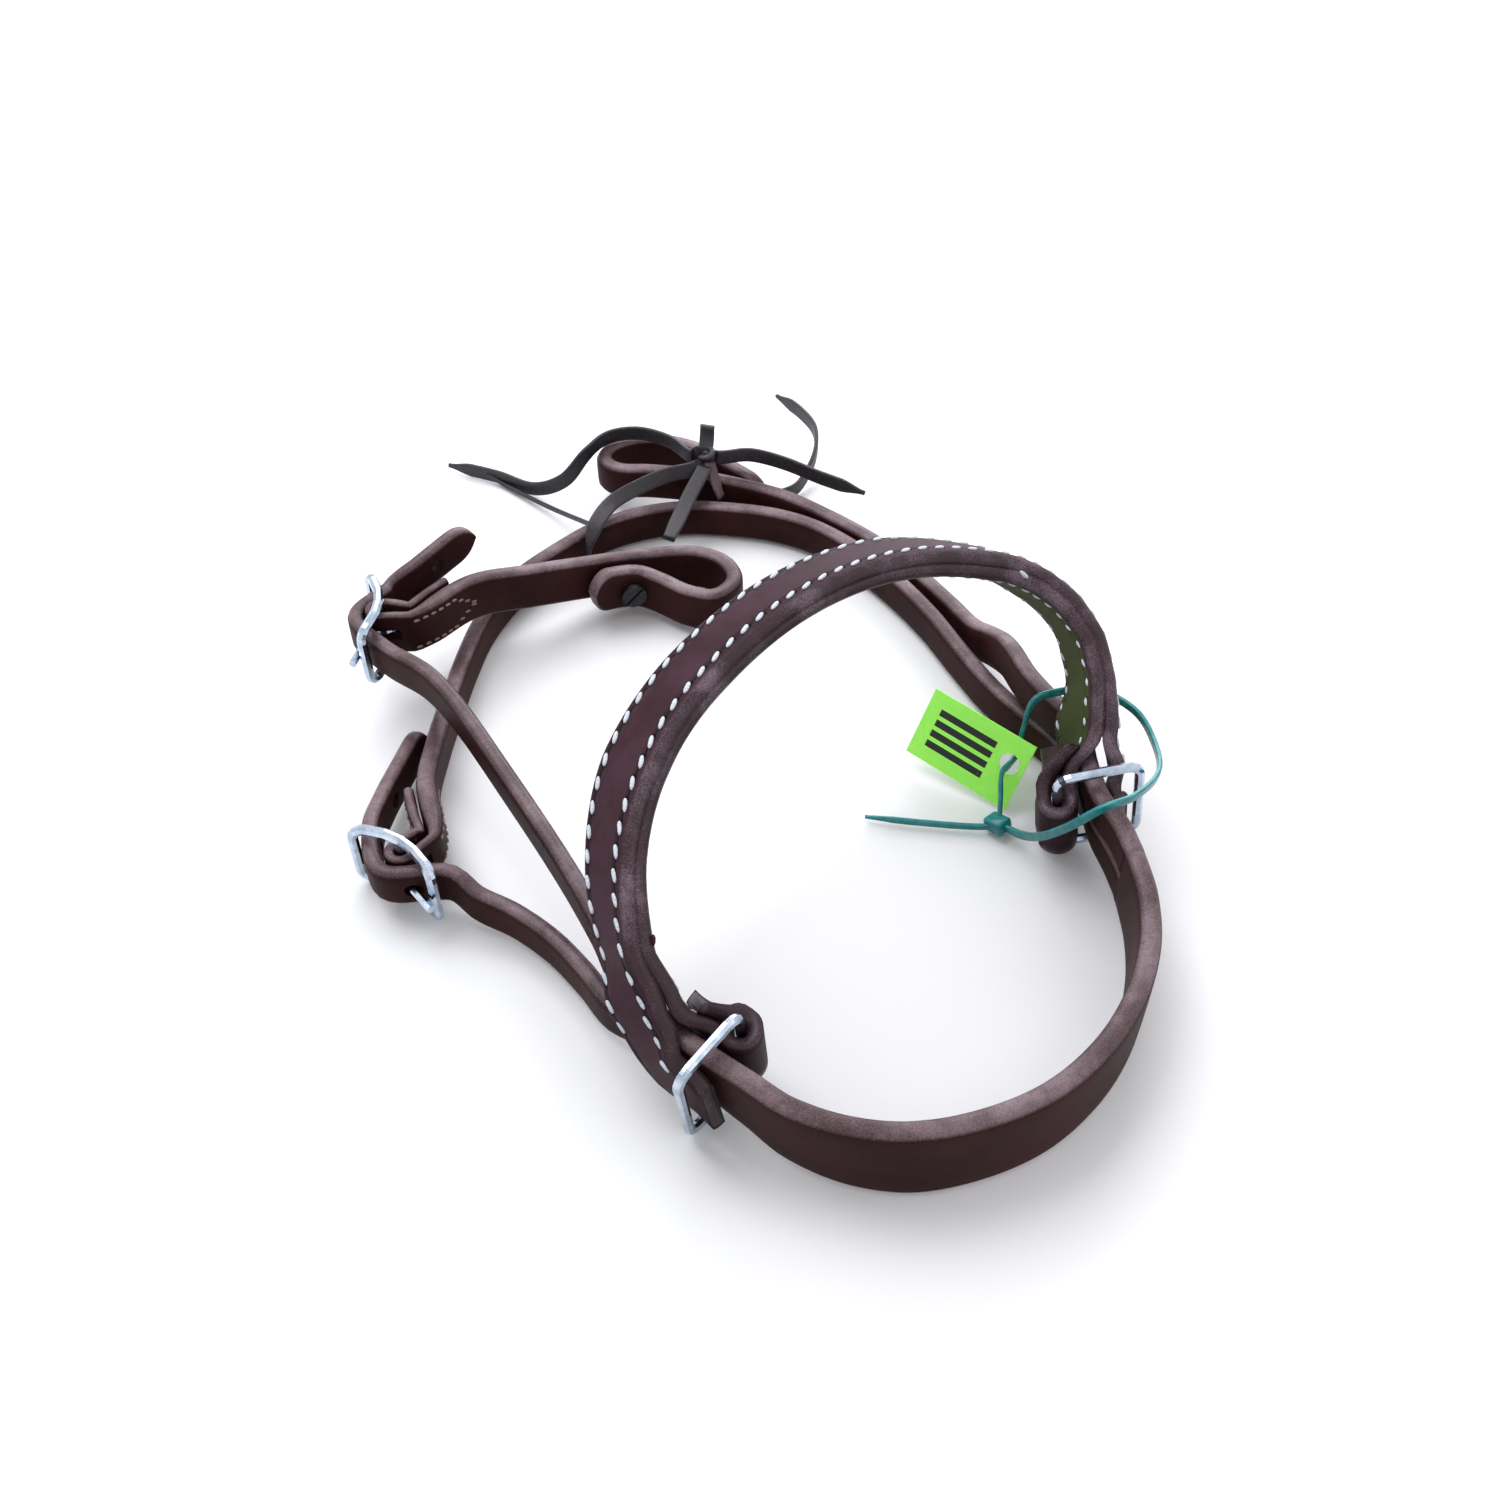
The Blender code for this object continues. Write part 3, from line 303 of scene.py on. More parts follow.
def strap(name, rows, thickness, mat, rounding=2.0, start=0.0, square=0, open_start=False, open_end=False):
    bm = bmesh.new()
    column = bm.verts.layers.int.new("column")
    strip = bm.verts.layers.float_vector.new("strip")
    rim = bm.verts.layers.float.new("rim")
    middles = [(row[0] + row[1]) / 2 for row in rows]
    run = [start]
    for a, b in zip(middles, middles[1:]):
        run.append(run[-1] + (b - a).length)
    rings = []
    for k, (low, high, share, *known) in enumerate(rows):
        run[k] = known[0] if known else run[k]
        wide = (high - low).normalized()
        along = (middles[min(k + 1, len(rows) - 1)] - middles[max(k - 1, 0)]).normalized()
        along = (along - wide * along.dot(wide)).normalized()
        rings.append((middles[k], wide, along, (high - low).length / 2, thickness * share, run[k], 0.0))
    first, last = rings[0], rings[-1]
    for ring, sign, grow, left_open in ((first, -1, True, open_start), (last, 1, False, open_end)):
        if left_open:
            continue
        pos, wide, along, half, thick, s, _ = ring
        for angle in (35, 65, 88):
            e = min(1.0, thick * 0.3)
            a = math.radians(angle)
            closer = e * (1 - math.cos(a))
            there = pos + along * sign * e * (math.sin(a) - 1) * 1.0
            made = (there, wide, along, half - closer, thick - 2 * closer, s, math.sin(a))
            if grow:
                rings.insert(0, made)
            else:
                rings.append(made)
    loop, edges = [], []
    for pos, wide, along, half, thick, s, cap in rings:
        points = section(max(half, 0.3), max(thick, 0.3), rounding, square)
        if not loop:
            loop = [bm.verts.new() for _ in points]
            for k, vert in enumerate(loop):
                vert[column] = k
            edges = [bm.edges.new(pair) for pair in zip(loop, loop[1:] + loop[:1])]
            bmesh.ops.contextual_create(bm, geom=edges)
        else:
            made = bmesh.ops.extrude_edge_only(bm, edges=edges)["geom"]
            loop = sorted((g for g in made if isinstance(g, bmesh.types.BMVert)), key=lambda v: v[column])
            fresh = set(loop)
            edges = [g for g in made if isinstance(g, bmesh.types.BMEdge) and fresh >= set(g.verts)]
        face = along.cross(wide)
        for vert, (w, out, round_edge) in zip(loop, points):
            vert.co = (pos + wide * w + face * out + SHIFT) * MM
            vert[strip] = (s, w, half)
            vert[rim] = max(round_edge, cap)
    bmesh.ops.contextual_create(bm, geom=edges)
    bmesh.ops.recalc_face_normals(bm, faces=bm.faces)
    return piece(name, bm, mat)


def piece(name, bm, mat):
    mesh = bpy.data.meshes.new(name)
    bm.to_mesh(mesh)
    bm.free()
    mesh.shade_smooth()
    obj = bpy.data.objects.new(name, mesh)
    bpy.context.scene.collection.objects.link(obj)
    mesh.materials.append(mat)
    return obj


def tip_half(half, left, taper=7.5):
    if left >= taper:
        return half
    return max(1.0, half * math.sqrt(max(0.0, 1 - (1 - left / taper) ** 2)))


def strip_rows(route, start, end, half, tip=False, share=lambda s: 1.0):
    stops = route.steps(start, end)
    if tip:
        stops = [s for s in stops if s < end - 9.5] + [end - 9.0 * k for k in (1, .85, .7, .55, .4, .28, .18, .1, .04, 0)]
    rows = []
    for s in stops:
        pos, _, wide, _ = route.at(s)
        wide = wide * (tip_half(half, end - s) if tip else half)
        rows.append((pos - wide, pos + wide, share(s)))
    return rows


def turned_back(bar, axes, radius, follow, lap, half, share):
    out, wide, turn = axes
    rows = []
    for k in range(1, 14):
        angle = math.pi * k / 14
        point = bar - turn * (radius * math.cos(angle)) + out * (radius * math.sin(angle))
        rows.append((point - wide * half, point + wide * half, share))
    count = round(lap / 2)
    for k in range(count + 1):
        rows.append((*follow(lap * k / count), share))
    return rows


def cut(obj, tools):
    """Cut holes with each tool, and drop the tools."""
    for tool in tools:
        mod = obj.modifiers.new("cut", "BOOLEAN")
        mod.operation = "DIFFERENCE"
        mod.solver = "EXACT"
        mod.object = tool
    graph = bpy.context.evaluated_depsgraph_get()
    mesh = bpy.data.meshes.new_from_object(obj.evaluated_get(graph))
    obj.modifiers.clear()
    obj.data = mesh
    mesh.shade_smooth()
    mesh.set_sharp_from_angle(angle=math.radians(50))
    for tool in tools:
        bpy.data.objects.remove(tool, do_unlink=True)
    return obj


def punch(start, end, diameter, mat):
    bm = bmesh.new()
    bmesh.ops.create_cone(bm, cap_ends=True, segments=24, radius1=diameter / 2, radius2=diameter / 2,
                          depth=(end - start).length)
    axis = (end - start).normalized()
    turn = axis.to_track_quat("Z", "Y").to_matrix().to_4x4()
    bmesh.ops.transform(bm, matrix=Matrix.Translation((start + end) / 2) @ turn, verts=bm.verts)
    bmesh.ops.translate(bm, vec=SHIFT, verts=bm.verts)
    bmesh.ops.scale(bm, vec=(MM, MM, MM), verts=bm.verts)
    return piece("punch", bm, mat)


def joined(name, pieces):
    """One object out of several that share a material order."""
    bm = bmesh.new()
    for each in pieces:
        bm.from_mesh(each.data)
    made = piece(name, bm, pieces[0].data.materials[0])
    for each in pieces:
        bpy.data.objects.remove(each, do_unlink=True)
    return made


# Buckle places: the bar upright, the strap folded round it, the other end threaded through.
class Buckle:
    fold_radius = 1.4 + 0.3 + 1.4

    def __init__(self, centre, rearward):
        self.bar = Vector(centre)
        self.rear = Vector(rearward).normalized()
        self.up = Vector((0, 0, 1))
        self.out = self.up.cross(self.rear)

    def place(self, along, across, out):
        return self.bar + self.rear * along + self.up * across + self.out * out

    def threading(self):
        under = 4.0 - 1.45 * (1.4 + 0.3 + 2.3)
        over = self.fold_radius + 1.4 + 0.3 + 2.3 + 0.2
        return [(*self.place(along, 0, out), 0.0) for along, out in ((-14.0, under), (0, over), (12.5, under))]

    def chape_stations(self):
        side = -self.rear * self.fold_radius
        return [(*(self.bar + side - self.out * back), 0.0) for back in (9.0, 4.0, 0.0)]

    def tongue_line(self):
        radius = 1.4 + 0.3 + 1.1
        return self.place(-0.3, 0, radius), self.place(-15.8, 0, 4.0 + radius + 0.7)

    def slot(self):
        start, end = self.place(0, 0, 0) - self.out * 6, self.place(0, 0, 0) + self.out * 7
        bm = bmesh.new()
        bmesh.ops.create_cube(bm, size=1.0)
        deep = self.fold_radius + 2.8
        bmesh.ops.scale(bm, vec=(2 * deep, 3.4, 2 * deep), verts=bm.verts)
        turn = Matrix((self.rear, self.up, -self.out)).transposed().to_4x4()
        spot = self.place(0, 0, 0.1 * deep) + SHIFT
        bmesh.ops.transform(bm, matrix=Matrix.Translation(spot) @ turn, verts=bm.verts)
        bmesh.ops.scale(bm, vec=(MM, MM, MM), verts=bm.verts)
        bmesh.ops.recalc_face_normals(bm, faces=bm.faces)
        return piece("slot", bm, leather_look)


cheek_buckle = Buckle((-99.0, 26.5, 23.5), (-0.10, 0.995, 0.0))
throat_buckle = Buckle((-82.6, -51.6, 10.9), (-0.835, 0.55, 0.0))


def chape(name, stations, buckle, half, lap, open_start=False):
    route = Route(stations + buckle.chape_stations())
    length, thin = route.length, 2.8 / 5.4

    def share(s):
        return mix(thin, 1.0, smooth((length - s - 5) / 14))

    def follow(back):
        pos, _, wide, face = route.at(length - back)
        apart = share(length - back) * 2.7 + 1.4 + 0.3 + 0.2
        point = pos + face * mix(2 * buckle.fold_radius, apart, smooth(back / 12))
        return point - wide * half, point + wide * half

    rows = strip_rows(route, -0.3 if open_start else 0, length, half, share=share)
    rows[-1] = (rows[-1][0], rows[-1][1], thin)
    if not open_start:
        rounded = []
        for s in (0, 0.15, 0.4, 0.8, 1.4, 2.2, 3.2, 4.5):
            pos, _, wide, _ = route.at(s)
            wide = wide * tip_half(half, s, 5.0)
            rounded.append((pos - wide, pos + wide, share(s)))
        rows = rounded + rows[3:]
    rows += turned_back(buckle.bar, (buckle.out, buckle.up, buckle.rear), buckle.fold_radius, follow, lap,
                        half, thin)
    made = strap(name, rows, 5.4, leather_look, rounding=1.9, open_start=open_start)
    return cut(made, [buckle.slot()]), route


# Crown, its two billets, the right cheek piece and the throatlatch.
CROWN = [
    (-17.6, -100.8, 15.8, 9), (-14.2, -106.6, 16.0, 11), (-9.0, -112.0, 16.1, 13),
    (-2.8, -117.2, 16.1, 12), (4.5, -122.6, 15.4, 10), (14.0, -129.2, 13.6, 7),
    (27.0, -134.0, 12.6, 3), (41.0, -135.2, 12.4, 0), (57.0, -131.5, 12.4, 0), (71.0, -124.5, 12.4, 0),
    (83.5, -113.0, 12.4, 0), (92.5, -99.5, 12.4, 0), (98.0, -85.0, 12.4, 0), (100.2, -71.0, 12.4, -2),
    (99.7, -58.5, 12.9, -5),
]
CROWN_RIGHT = [(98.3, -51.0, 14.2, -8), (94.9, -43.0, 15.9, -11), (93.4, -34.2, 16.9, -12), (93.4, -24.0, 15.0, -8)]
THROAT_BILLET = [(-26.8, -95.4, 8.4, 0), (-34.5, -84.4, 6.6, 0), (-43.0, -74.6, 6.4, 0),
                 (-53.0, -66.8, 6.8, 0), (-62.5, -62.4, 8.2, 0)]
CHEEK_BILLET = [(-24.2, -94.5, 20.6, 0), (-30.5, -79.5, 19.0, 0), (-42.5, -56.5, 17.6, 0),
                (-58.5, -31.0, 20.0, 0), (-73.0, -9.5, 23.0, 0), (-82.5, 1.5, 24.5, 0)]
THROATLATCH = [
    (92.2, -15.5, 7.6, -3), (88.4, -5.5, 6.6, 0), (81.0, 4.5, 6.4, 0), (73.6, 16.0, 6.4, 0),
    (66.0, 32.0, 6.4, 0), (59.4, 47.0, 6.4, 0), (50.0, 63.5, 6.4, 0), (38.5, 79.0, 6.4, 0),
    (25.5, 91.0, 6.4, 0), (13.0, 97.2, 6.4, 0), (-1.0, 100.2, 6.4, 0), (-15.0, 101.2, 6.4, 0),
    (-29.0, 98.4, 6.4, 0), (-42.0, 91.8, 6.4, 0), (-54.5, 80.0, 6.4, 0),
    (-67.0, 64.2, 6.4, 0), (-74.6, 46.0, 6.4, 0), (-77.8, 28.0, 6.8, 0), (-79.6, 10.0, 7.2, 0),
    (-80.8, -8.0, 8.2, 0), (-80.6, -26.0, 9.6, 0),
]
RIGHT_CHEEK = [
    (93.2, -17.0, 19.8, -4), (91.0, -10.5, 19.2, 0), (86.4, -2.5, 18.6, 0), (81.8, 7.5, 18.4, 0),
    (78.4, 18.5, 18.2, 0), (75.8, 29.0, 13.2, 0), (71.4, 40.0, 7.8, 0), (65.8, 52.0, 6.4, 0),
    (56.2, 67.5, 6.4, 0), (44.5, 83.0, 6.4, 0), (29.5, 96.5, 6.8, 0), (13.5, 106.5, 8.0, 0),
]
LEFT_CHEEK = [(-76.0, 42.0, 21.5, 0), (-60.0, 52.0, 17.5, 0), (-44.0, 62.0, 13.0, 0), (-29.0, 69.5, 10.0, 0)]
CHEEK_TAIL = [(-91.4, 43.2, 28.0, 0), (-83.4, 53.6, 29.5, 0), (-78.0, 60.6, 30.0, 0)]
THROAT_TAIL = [(-91.5, -31.0, 9.6, 0), (-88.8, -16.0, 8.6, 0), (-86.2, -3.0, 8.0, 0)]
LEFT_BIT_LOOP = [
    (-12.0, 72.0, 9.2, 0), (-3.0, 67.5, 9.0, 0), (0.2, 58.5, 9.0, 0), (-5.5, 51.2, 9.0, 0),
    (-14.0, 53.2, 9.0, 0), (-21.5, 58.2, 9.2, 0), (-28.5, 61.4, 9.8, 0), (-34.5, 59.4, 11.2, 0),
    (-42.5, 54.0, 13.2, 0),
]
RIGHT_BIT_LOOP = [
    (-15.0, 113.2, 11.0, 0), (-28.0, 115.4, 11.0, 0), (-38.5, 116.2, 11.0, 0), (-43.5, 122.0, 11.0, 0),
    (-39.5, 129.8, 11.0, 0), (-27.0, 133.2, 11.0, 0), (-13.0, 128.4, 11.0, 0), (-1.5, 119.2, 10.0, 0),
    (9.5, 109.6, 9.2, 0),
]
HALF = (24.0 - 0.6) / 4
TAIL = HALF + 0.3

crown_route = Route(CROWN + CROWN_RIGHT)
joint = crown_route.station(len(CROWN) - 1)
crown_parts = [strap("crown_body", strip_rows(crown_route, 0, joint + 0.3, 12.0), 5.4, leather_look, open_end=True)]
for offset, stations, buckle, end in ((-TAIL, THROAT_BILLET, throat_buckle, THROAT_TAIL),
                                      (TAIL, CHEEK_BILLET, cheek_buckle, CHEEK_TAIL)):
    rooted = []
    for s in (7.0, 3.0):
        pos, _, wide, _ = crown_route.at(s)
        rooted.append((*(pos + wide * offset), -crown_route.lean(s)))
    route = Route(rooted + stations + buckle.threading() + end)
    thin = 4.6 / 5.4
    rows = strip_rows(route, 0, route.length, HALF, tip=True,
                      share=lambda s: mix(0.94, thin, smooth(s / 60)))
    billet = strap("billet", rows, 5.4, leather_look)
    crossing = min(range(int(route.length)), key=lambda s: (route.at(s)[0] - buckle.place(-6, 0, 4.4)).length)
    tools = [punch(*buckle.tongue_line(), 4.4, leather_look)]
    for step in (1, 2):
        pos, _, _, face = route.at(crossing + step * 19.0)
        tools.append(punch(pos - face * 5.4, pos + face * 5.4, 4.4, leather_look))
    crown_parts.append(cut(billet, tools))
crown = joined("crown_leather", crown_parts)
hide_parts("crown_strap")
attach(crown, "leather")

for name, offset, stations in (("throatlatch_strap", -TAIL, THROATLATCH), ("right_cheek_strap", TAIL, RIGHT_CHEEK)):
    rooted = []
    for k in (0.0, 0.06, 0.25, 0.5, 0.75, 1.0):
        s = mix(joint + 0.6, crown_route.length, k)
        pos, _, wide, _ = crown_route.at(s)
        rooted.append((*(pos + wide * offset), crown_route.lean(s)))
    if name == "throatlatch_strap":
        made, throat_route = chape(name[:-6] + "_leather", rooted + stations, throat_buckle, HALF, 27.0,
                                   open_start=True)
    else:
        route = Route(rooted + stations + RIGHT_BIT_LOOP)
        made = strap(name[:-6] + "_leather", strip_rows(route, -0.3, route.length, HALF, tip=True), 5.4, leather_look,
                     open_start=True)
    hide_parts(name)
    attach(made, "leather")

# Left cheek piece: its chape at the buckle and the bit loop that the screw closes.
left, left_route = chape("left_cheek_leather", [*reversed(LEFT_BIT_LOOP), *reversed(LEFT_CHEEK)], cheek_buckle,
                         7.0, 26.0)
near = Vector((-31.5, 60.8, 10.3))
axis = Vector((-0.25, 0.97, 0.0)).normalized()
cut(left, [punch(near - axis * 5.4, near + axis * 13.6, 5.0, leather_look)])
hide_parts("left_cheek_strap")
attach(left, "leather")

# Browband: two stitched plies that part round the crown, the inner one folded round the metal loops.
BROWBAND = [
    (1.0, -120.4, 14.6, -11), (-2.8, -117.2, 16.1, -11), (-9.5, -112.6, 20.0, -11),
    (-15.6, -107.4, 27.5, -10), (-21.2, -100.6, 36.5, 9), (-24.6, -84.2, 49.0, 36),
    (-20.5, -64.6, 60.6, 61), (-7.4, -43.6, 68.8, 70), (14.5, -20.1, 72.3, 72),
    (39.6, -2.3, 69.5, 71), (66.0, 8.0, 60.2, 62), (78.6, 8.2, 53.5, 43), (87.0, 3.0, 48.5, 25),
    (91.4, -5.0, 43.5, 4), (93.2, -13.0, 37.5, -7), (93.6, -21.0, 31.0, -8), (93.4, -28.0, 23.0, 5),
    (93.2, -34.2, 16.2, 8), (95.2, -40.4, 13.2, 9),
]
TAB = 5.5


class Band:
    closed = 1.81
    parted = 2.7 + 1.2 + 1.8
    fold_radius = 1.3 + 0.3 + 1.8

    def __init__(self):
        self.route = Route(BROWBAND)
        self.length = self.route.length

    def row(self, s, side, extra=0.0):
        near = min(s, self.length - s)
        high = mix(self.parted, self.closed, smooth((near - 13.0) / 10.0))
        low = mix(self.parted + 1.0 * smooth((near - TAB) / 12), self.closed, smooth((near - 26.0) / 14.0))
        amount = 1 - smooth((near - TAB) / 26.0)
        shift = 2.5 * amount if s < self.length / 2 else -4.0 * amount
        a, _, wide_a, face_a = self.route.at(s - shift)
        b, _, wide_b, face_b = self.route.at(s + shift)
        return (a - wide_a * 9.0 + face_a * side * (low + extra), b + wide_b * 9.0 + face_b * side * (high + extra))

    def fold(self, at, inward, reverse):
        low, high = self.row(at, 0)
        low_in, high_in = self.row(at, 1)
        up = (high - low).normalized()
        side = ((low_in + high_in) - (low + high)).normalized()
        side = (side - up * side.dot(up)).normalized()
        out = side.cross(up) * (1 if self.route.at(at)[1].dot(side.cross(up)) * inward < 0 else -1)
        bar = (low + high) / 2 + side * (self.parted + self.fold_radius)
        half = (high_in - low_in).length / 2

        def follow(back):
            extra = mix(2 * self.fold_radius, 3.9, smooth(back / 10.5))
            return self.row(at + inward * back, 1, extra)

        rows = turned_back(bar, (out, up, side), self.fold_radius, follow, 15.0, half, 1.0)
        return rows[::-1] if reverse else rows

    def ply(self, name, start, end, side):
        rows = [(*self.row(s, side), 1.0, s) for s in self.route.steps(start, end)]
        if side > 0:
            plain = -1000.0
            head = [(*row, plain) for row in self.fold(start, 1, True)]
            rows = head + rows + [(*row, plain) for row in self.fold(end, -1, False)]
        return strap(name, rows, 3.6, outer_look if side < 0 else inner_look, rounding=1.5, square=-side)

    def stitches(self, side):
        """Slanted lozenges in two rows, one every fifth of an inch, on the face that shows."""
        found = []
        count = int((self.length - 60.0) / 5.08)
        for edge in (-6.0, 6.0):
            short = 3 if edge > 0 else 1
            for k in range(-short, count + 1 + short):
                s = 30.0 + 5.08 * k
                low, high = self.row(s, side, 1.72)
                low_next, high_next = self.row(s + 1.0, side, 1.72)
                wide = (high - low).normalized()
                pos = (low + high) / 2 + wide * edge
                along = ((low_next + high_next) - (low + high)).normalized()
                out = along.cross(wide) * side
                found.append((pos, along, wide, out))
        return found


band = Band()
# Browband colours; the pale edge colour here is partly painted sheen too.
lilac = dict(stitched=band.length, face=(0.034, 0.0110, 0.0150), tint=(0.060, 0.0260, 0.0380),
             edge_dark=(0.034, 0.0135, 0.0180), edge_fuzz_and_painted_sheen=(0.260, 0.185, 0.235), speckle=(0.44, 0.74))
outer_look = harness("browband_outer_look", **lilac)
# The inner ply carries the painted reflection of the tag.
inner_look = harness("browband_inner_look", **lilac, painted_tag_reflection=True)
for name, start, end, side in (("browband_outer", 0.0, band.length, -1), ("browband_inner", TAB, band.length - TAB, 1)):
    ply = band.ply(name + "_leather", start, end, side)
    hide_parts(name + "_ply")
    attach(ply, "leather")

# Thread: pale blue-white, twisted, each stitch sunk a little in the leather.
thread = Look("thread_look", roughness=0.62)
twist = thread.noise(3.0, 3, 0.6)
thread.set("Base Color", thread.blend(twist.ramp(0.35, 0.65), (0.50, 0.56, 0.63), (0.80, 0.84, 0.89)))
thread.bump(twist, 0.12)
dark_thread = Look("dark_thread_look", roughness=0.7)
grain = dark_thread.noise(3.0, 3, 0.6)
dark_thread.set("Base Color", dark_thread.blend(grain.ramp(0.35, 0.65), (0.16, 0.095, 0.080), (0.34, 0.22, 0.19)))


def stitch_piece(name, places, size, slant, mat):
    bm = bmesh.new()
    for pos, along, wide, out in places:
        made = bmesh.ops.create_uvsphere(bm, u_segments=10, v_segments=7, radius=0.5)["verts"]
        bmesh.ops.scale(bm, vec=size, verts=made)
        for vert in made:
            vert.co.z -= 0.10 * abs(vert.co.x)
        bmesh.ops.rotate(bm, cent=(0, 0, 0), matrix=Matrix.Rotation(math.radians(slant), 3, "Z"), verts=made)
        turn = Matrix((along, wide, along.cross(wide))).transposed().to_4x4()
        bmesh.ops.transform(bm, matrix=Matrix.Translation(pos + SHIFT) @ turn, verts=made)
    bmesh.ops.scale(bm, vec=(MM, MM, MM), verts=bm.verts)
    return piece(name, bm, mat)


for name, side, size in (("browband_stitches_outside", -1, (3.6, 1.35, 1.2)),
                         ("browband_stitches_inside", 1, (3.0, 1.1, 0.9))):
    made = stitch_piece(name, band.stitches(side), size, 19 * side, thread.mat)
    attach(made, "leather")

# Wear on the browband: a stray end of thread and a raised nick, both on its near edge.
spots = []
for s, inset, size, mat in ((208.5, 8.9, (3.2, 1.2, 1.1), thread.mat), (40.5, 8.6, (2.6, 1.0, 2.0), inner_look)):
    low, high = band.row(s, 0)
    low_next, high_next = band.row(s + 1.0, 0)
    wide = (high - low).normalized()
    along = ((low_next + high_next) - (low + high)).normalized()
    face = along.cross(wide)
    at = (low + high) / 2 + wide * inset + face * (0.4 if mat == thread.mat else 3.0)
    spots.append((at, along, face, mat, size))
for name, (at, along, face, mat, size) in zip(("stray_thread", "edge_nick"), spots):
    made = stitch_piece(name, [(at, along, face, face)], size, 15, mat)
    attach(made, "leather")

# Chape stitches: dark waxed thread through the folded ends at both buckles.
for name, route, half, back_from, count, lift in (("cheek_chape_stitches", left_route, 7.0, 9.0, 9, 1),
                                                  ("throat_chape_stitches", throat_route, HALF, 9.0, 9, 1)):
    spots = []
    for row in (-1, 1):
        for k in range(count):
            s = route.length - back_from - 2.6 * k
            pos, along, wide, face = route.at(s)
            pull = 1 if k < count - 3 else 1 - 0.3 * (k - count + 4)
            for side in (-1, 1):
                thick = 5.4 * mix(2.8 / 5.4, 1.0, smooth((route.length - s - 5) / 14))
                out = side * thick / 2 if side < 0 else thick / 2 + 0.5 + 2.8
                spots.append((pos + wide * row * (half - 2.4) * pull + face * out, along, wide, face * side))
    made = stitch_piece(name, spots, (2.1, 0.85, 0.7), 8, dark_thread.mat)
    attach(made, "leather")

# Laces: flat waxed thongs.
lace = Look("lace_look", Specular_IOR_Level=0.5)
wear = lace.noise(1.2, 4, 0.7)
lace.set("Base Color", lace.blend(wear.ramp(0.4, 0.75), (0.0100, 0.0080, 0.0110), (0.034, 0.026, 0.034)))
lace.set("Roughness", wear * 0.25 + 0.36)
lace.bump(wear, 0.15)
LACE_W, LACE_T = 5.0, 1.3
LACES = {
    "lace_left": [(-13.2, 113.4, 21.9), (-15.0, 114.7, 21.5), (-22.0, 124.5, 20.5), (-32.5, 130.0, 20.0),
                  (-42.5, 128.0, 19.6), (-49.0, 121.0, 18.0), (-57.0, 118.0, 9.5), (-68.0, 122.0, 3.2),
                  (-81.0, 129.5, 2.8), (-99.0, 136.5, 2.8)],
    "lace_right": [(-6.4, 112.9, 22.0), (-3.8, 113.6, 21.5), (5.0, 116.5, 20.5), (16.0, 115.5, 18.0),
                   (28.0, 110.8, 15.5), (42.5, 105.5, 13.0)],
    "lace_curl": [(-9.8, 114.6, 21.6, 70), (-11.2, 117.4, 18.0, 65), (-11.6, 119.4, 11.0, 65), (-10.0, 120.8, 4.6, 80),
                  (-5.5, 121.6, 2.2, 86), (3.0, 121.0, 2.0, 75), (12.0, 119.6, 2.6, 35), (18.5, 120.4, 2.9),
                  (22.5, 124.8, 3.7), (27.0, 134.0, 8.0), (27.5, 145.0, 11.0),
                  (22.5, 155.5, 12.0), (14.5, 166.0, 12.0)],
    "lace_thin": [(-43.6, 86.6, 13.5, 40), (-46.0, 90.5, 11.6), (-49.3, 95.0, 9.6), (-61.8, 111.3, 3.2),
                  (-78.8, 126.7, 1.4), (-85.0, 130.8, 3.0)],
    "lace_hanging": [(-11.6, 109.6, 20.8, 20), (-14.0, 108.7, 20.0, 20), (-22.0, 107.0, 19.0, 25),
                     (-32.0, 101.5, 17.6, 40), (-39.0, 95.0, 16.8, 60), (-43.4, 86.2, 15.6, 78),
                     (-45.6, 81.6, 11.0, 85), (-46.2, 80.2, 7.5, 85)],
    "lace_band": [(-9.6, 109.2, 21.0, 80), (-10.6, 106.7, 20.0, 80), (-13.5, 101.0, 17.5, 80),
                  (-16.6, 92.5, 15.4, 80), (-20.6, 79.5, 14.0, 80)],
}
for name, stations in LACES.items():
    route = Route(stations)
    stops = route.steps(0, route.length, 1.2)
    rows = []
    for s in stops:
        pos, _, wide, _ = route.at(s)
        drawn = 0.80 if name in ("lace_band", "lace_thin") else 0.30
        half = (0.8 if name == "lace_thin" else LACE_W / 2) * min(1.0, drawn + (1 - drawn) * smooth((route.length - s) / 9.0))
        rows.append((pos - wide * half, pos + wide * half, 1.0))
    made = strap(name + "_thong", rows, LACE_T, lace.mat, rounding=0.5)
    path = [tuple((route.at(s)[0] + SHIFT) * MM) for s in stops]
    if name != "lace_thin":
        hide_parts(name)
    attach(made, "leather")
    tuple(path[0])
    (1.6 if name == "lace_thin" else LACE_W) * MM

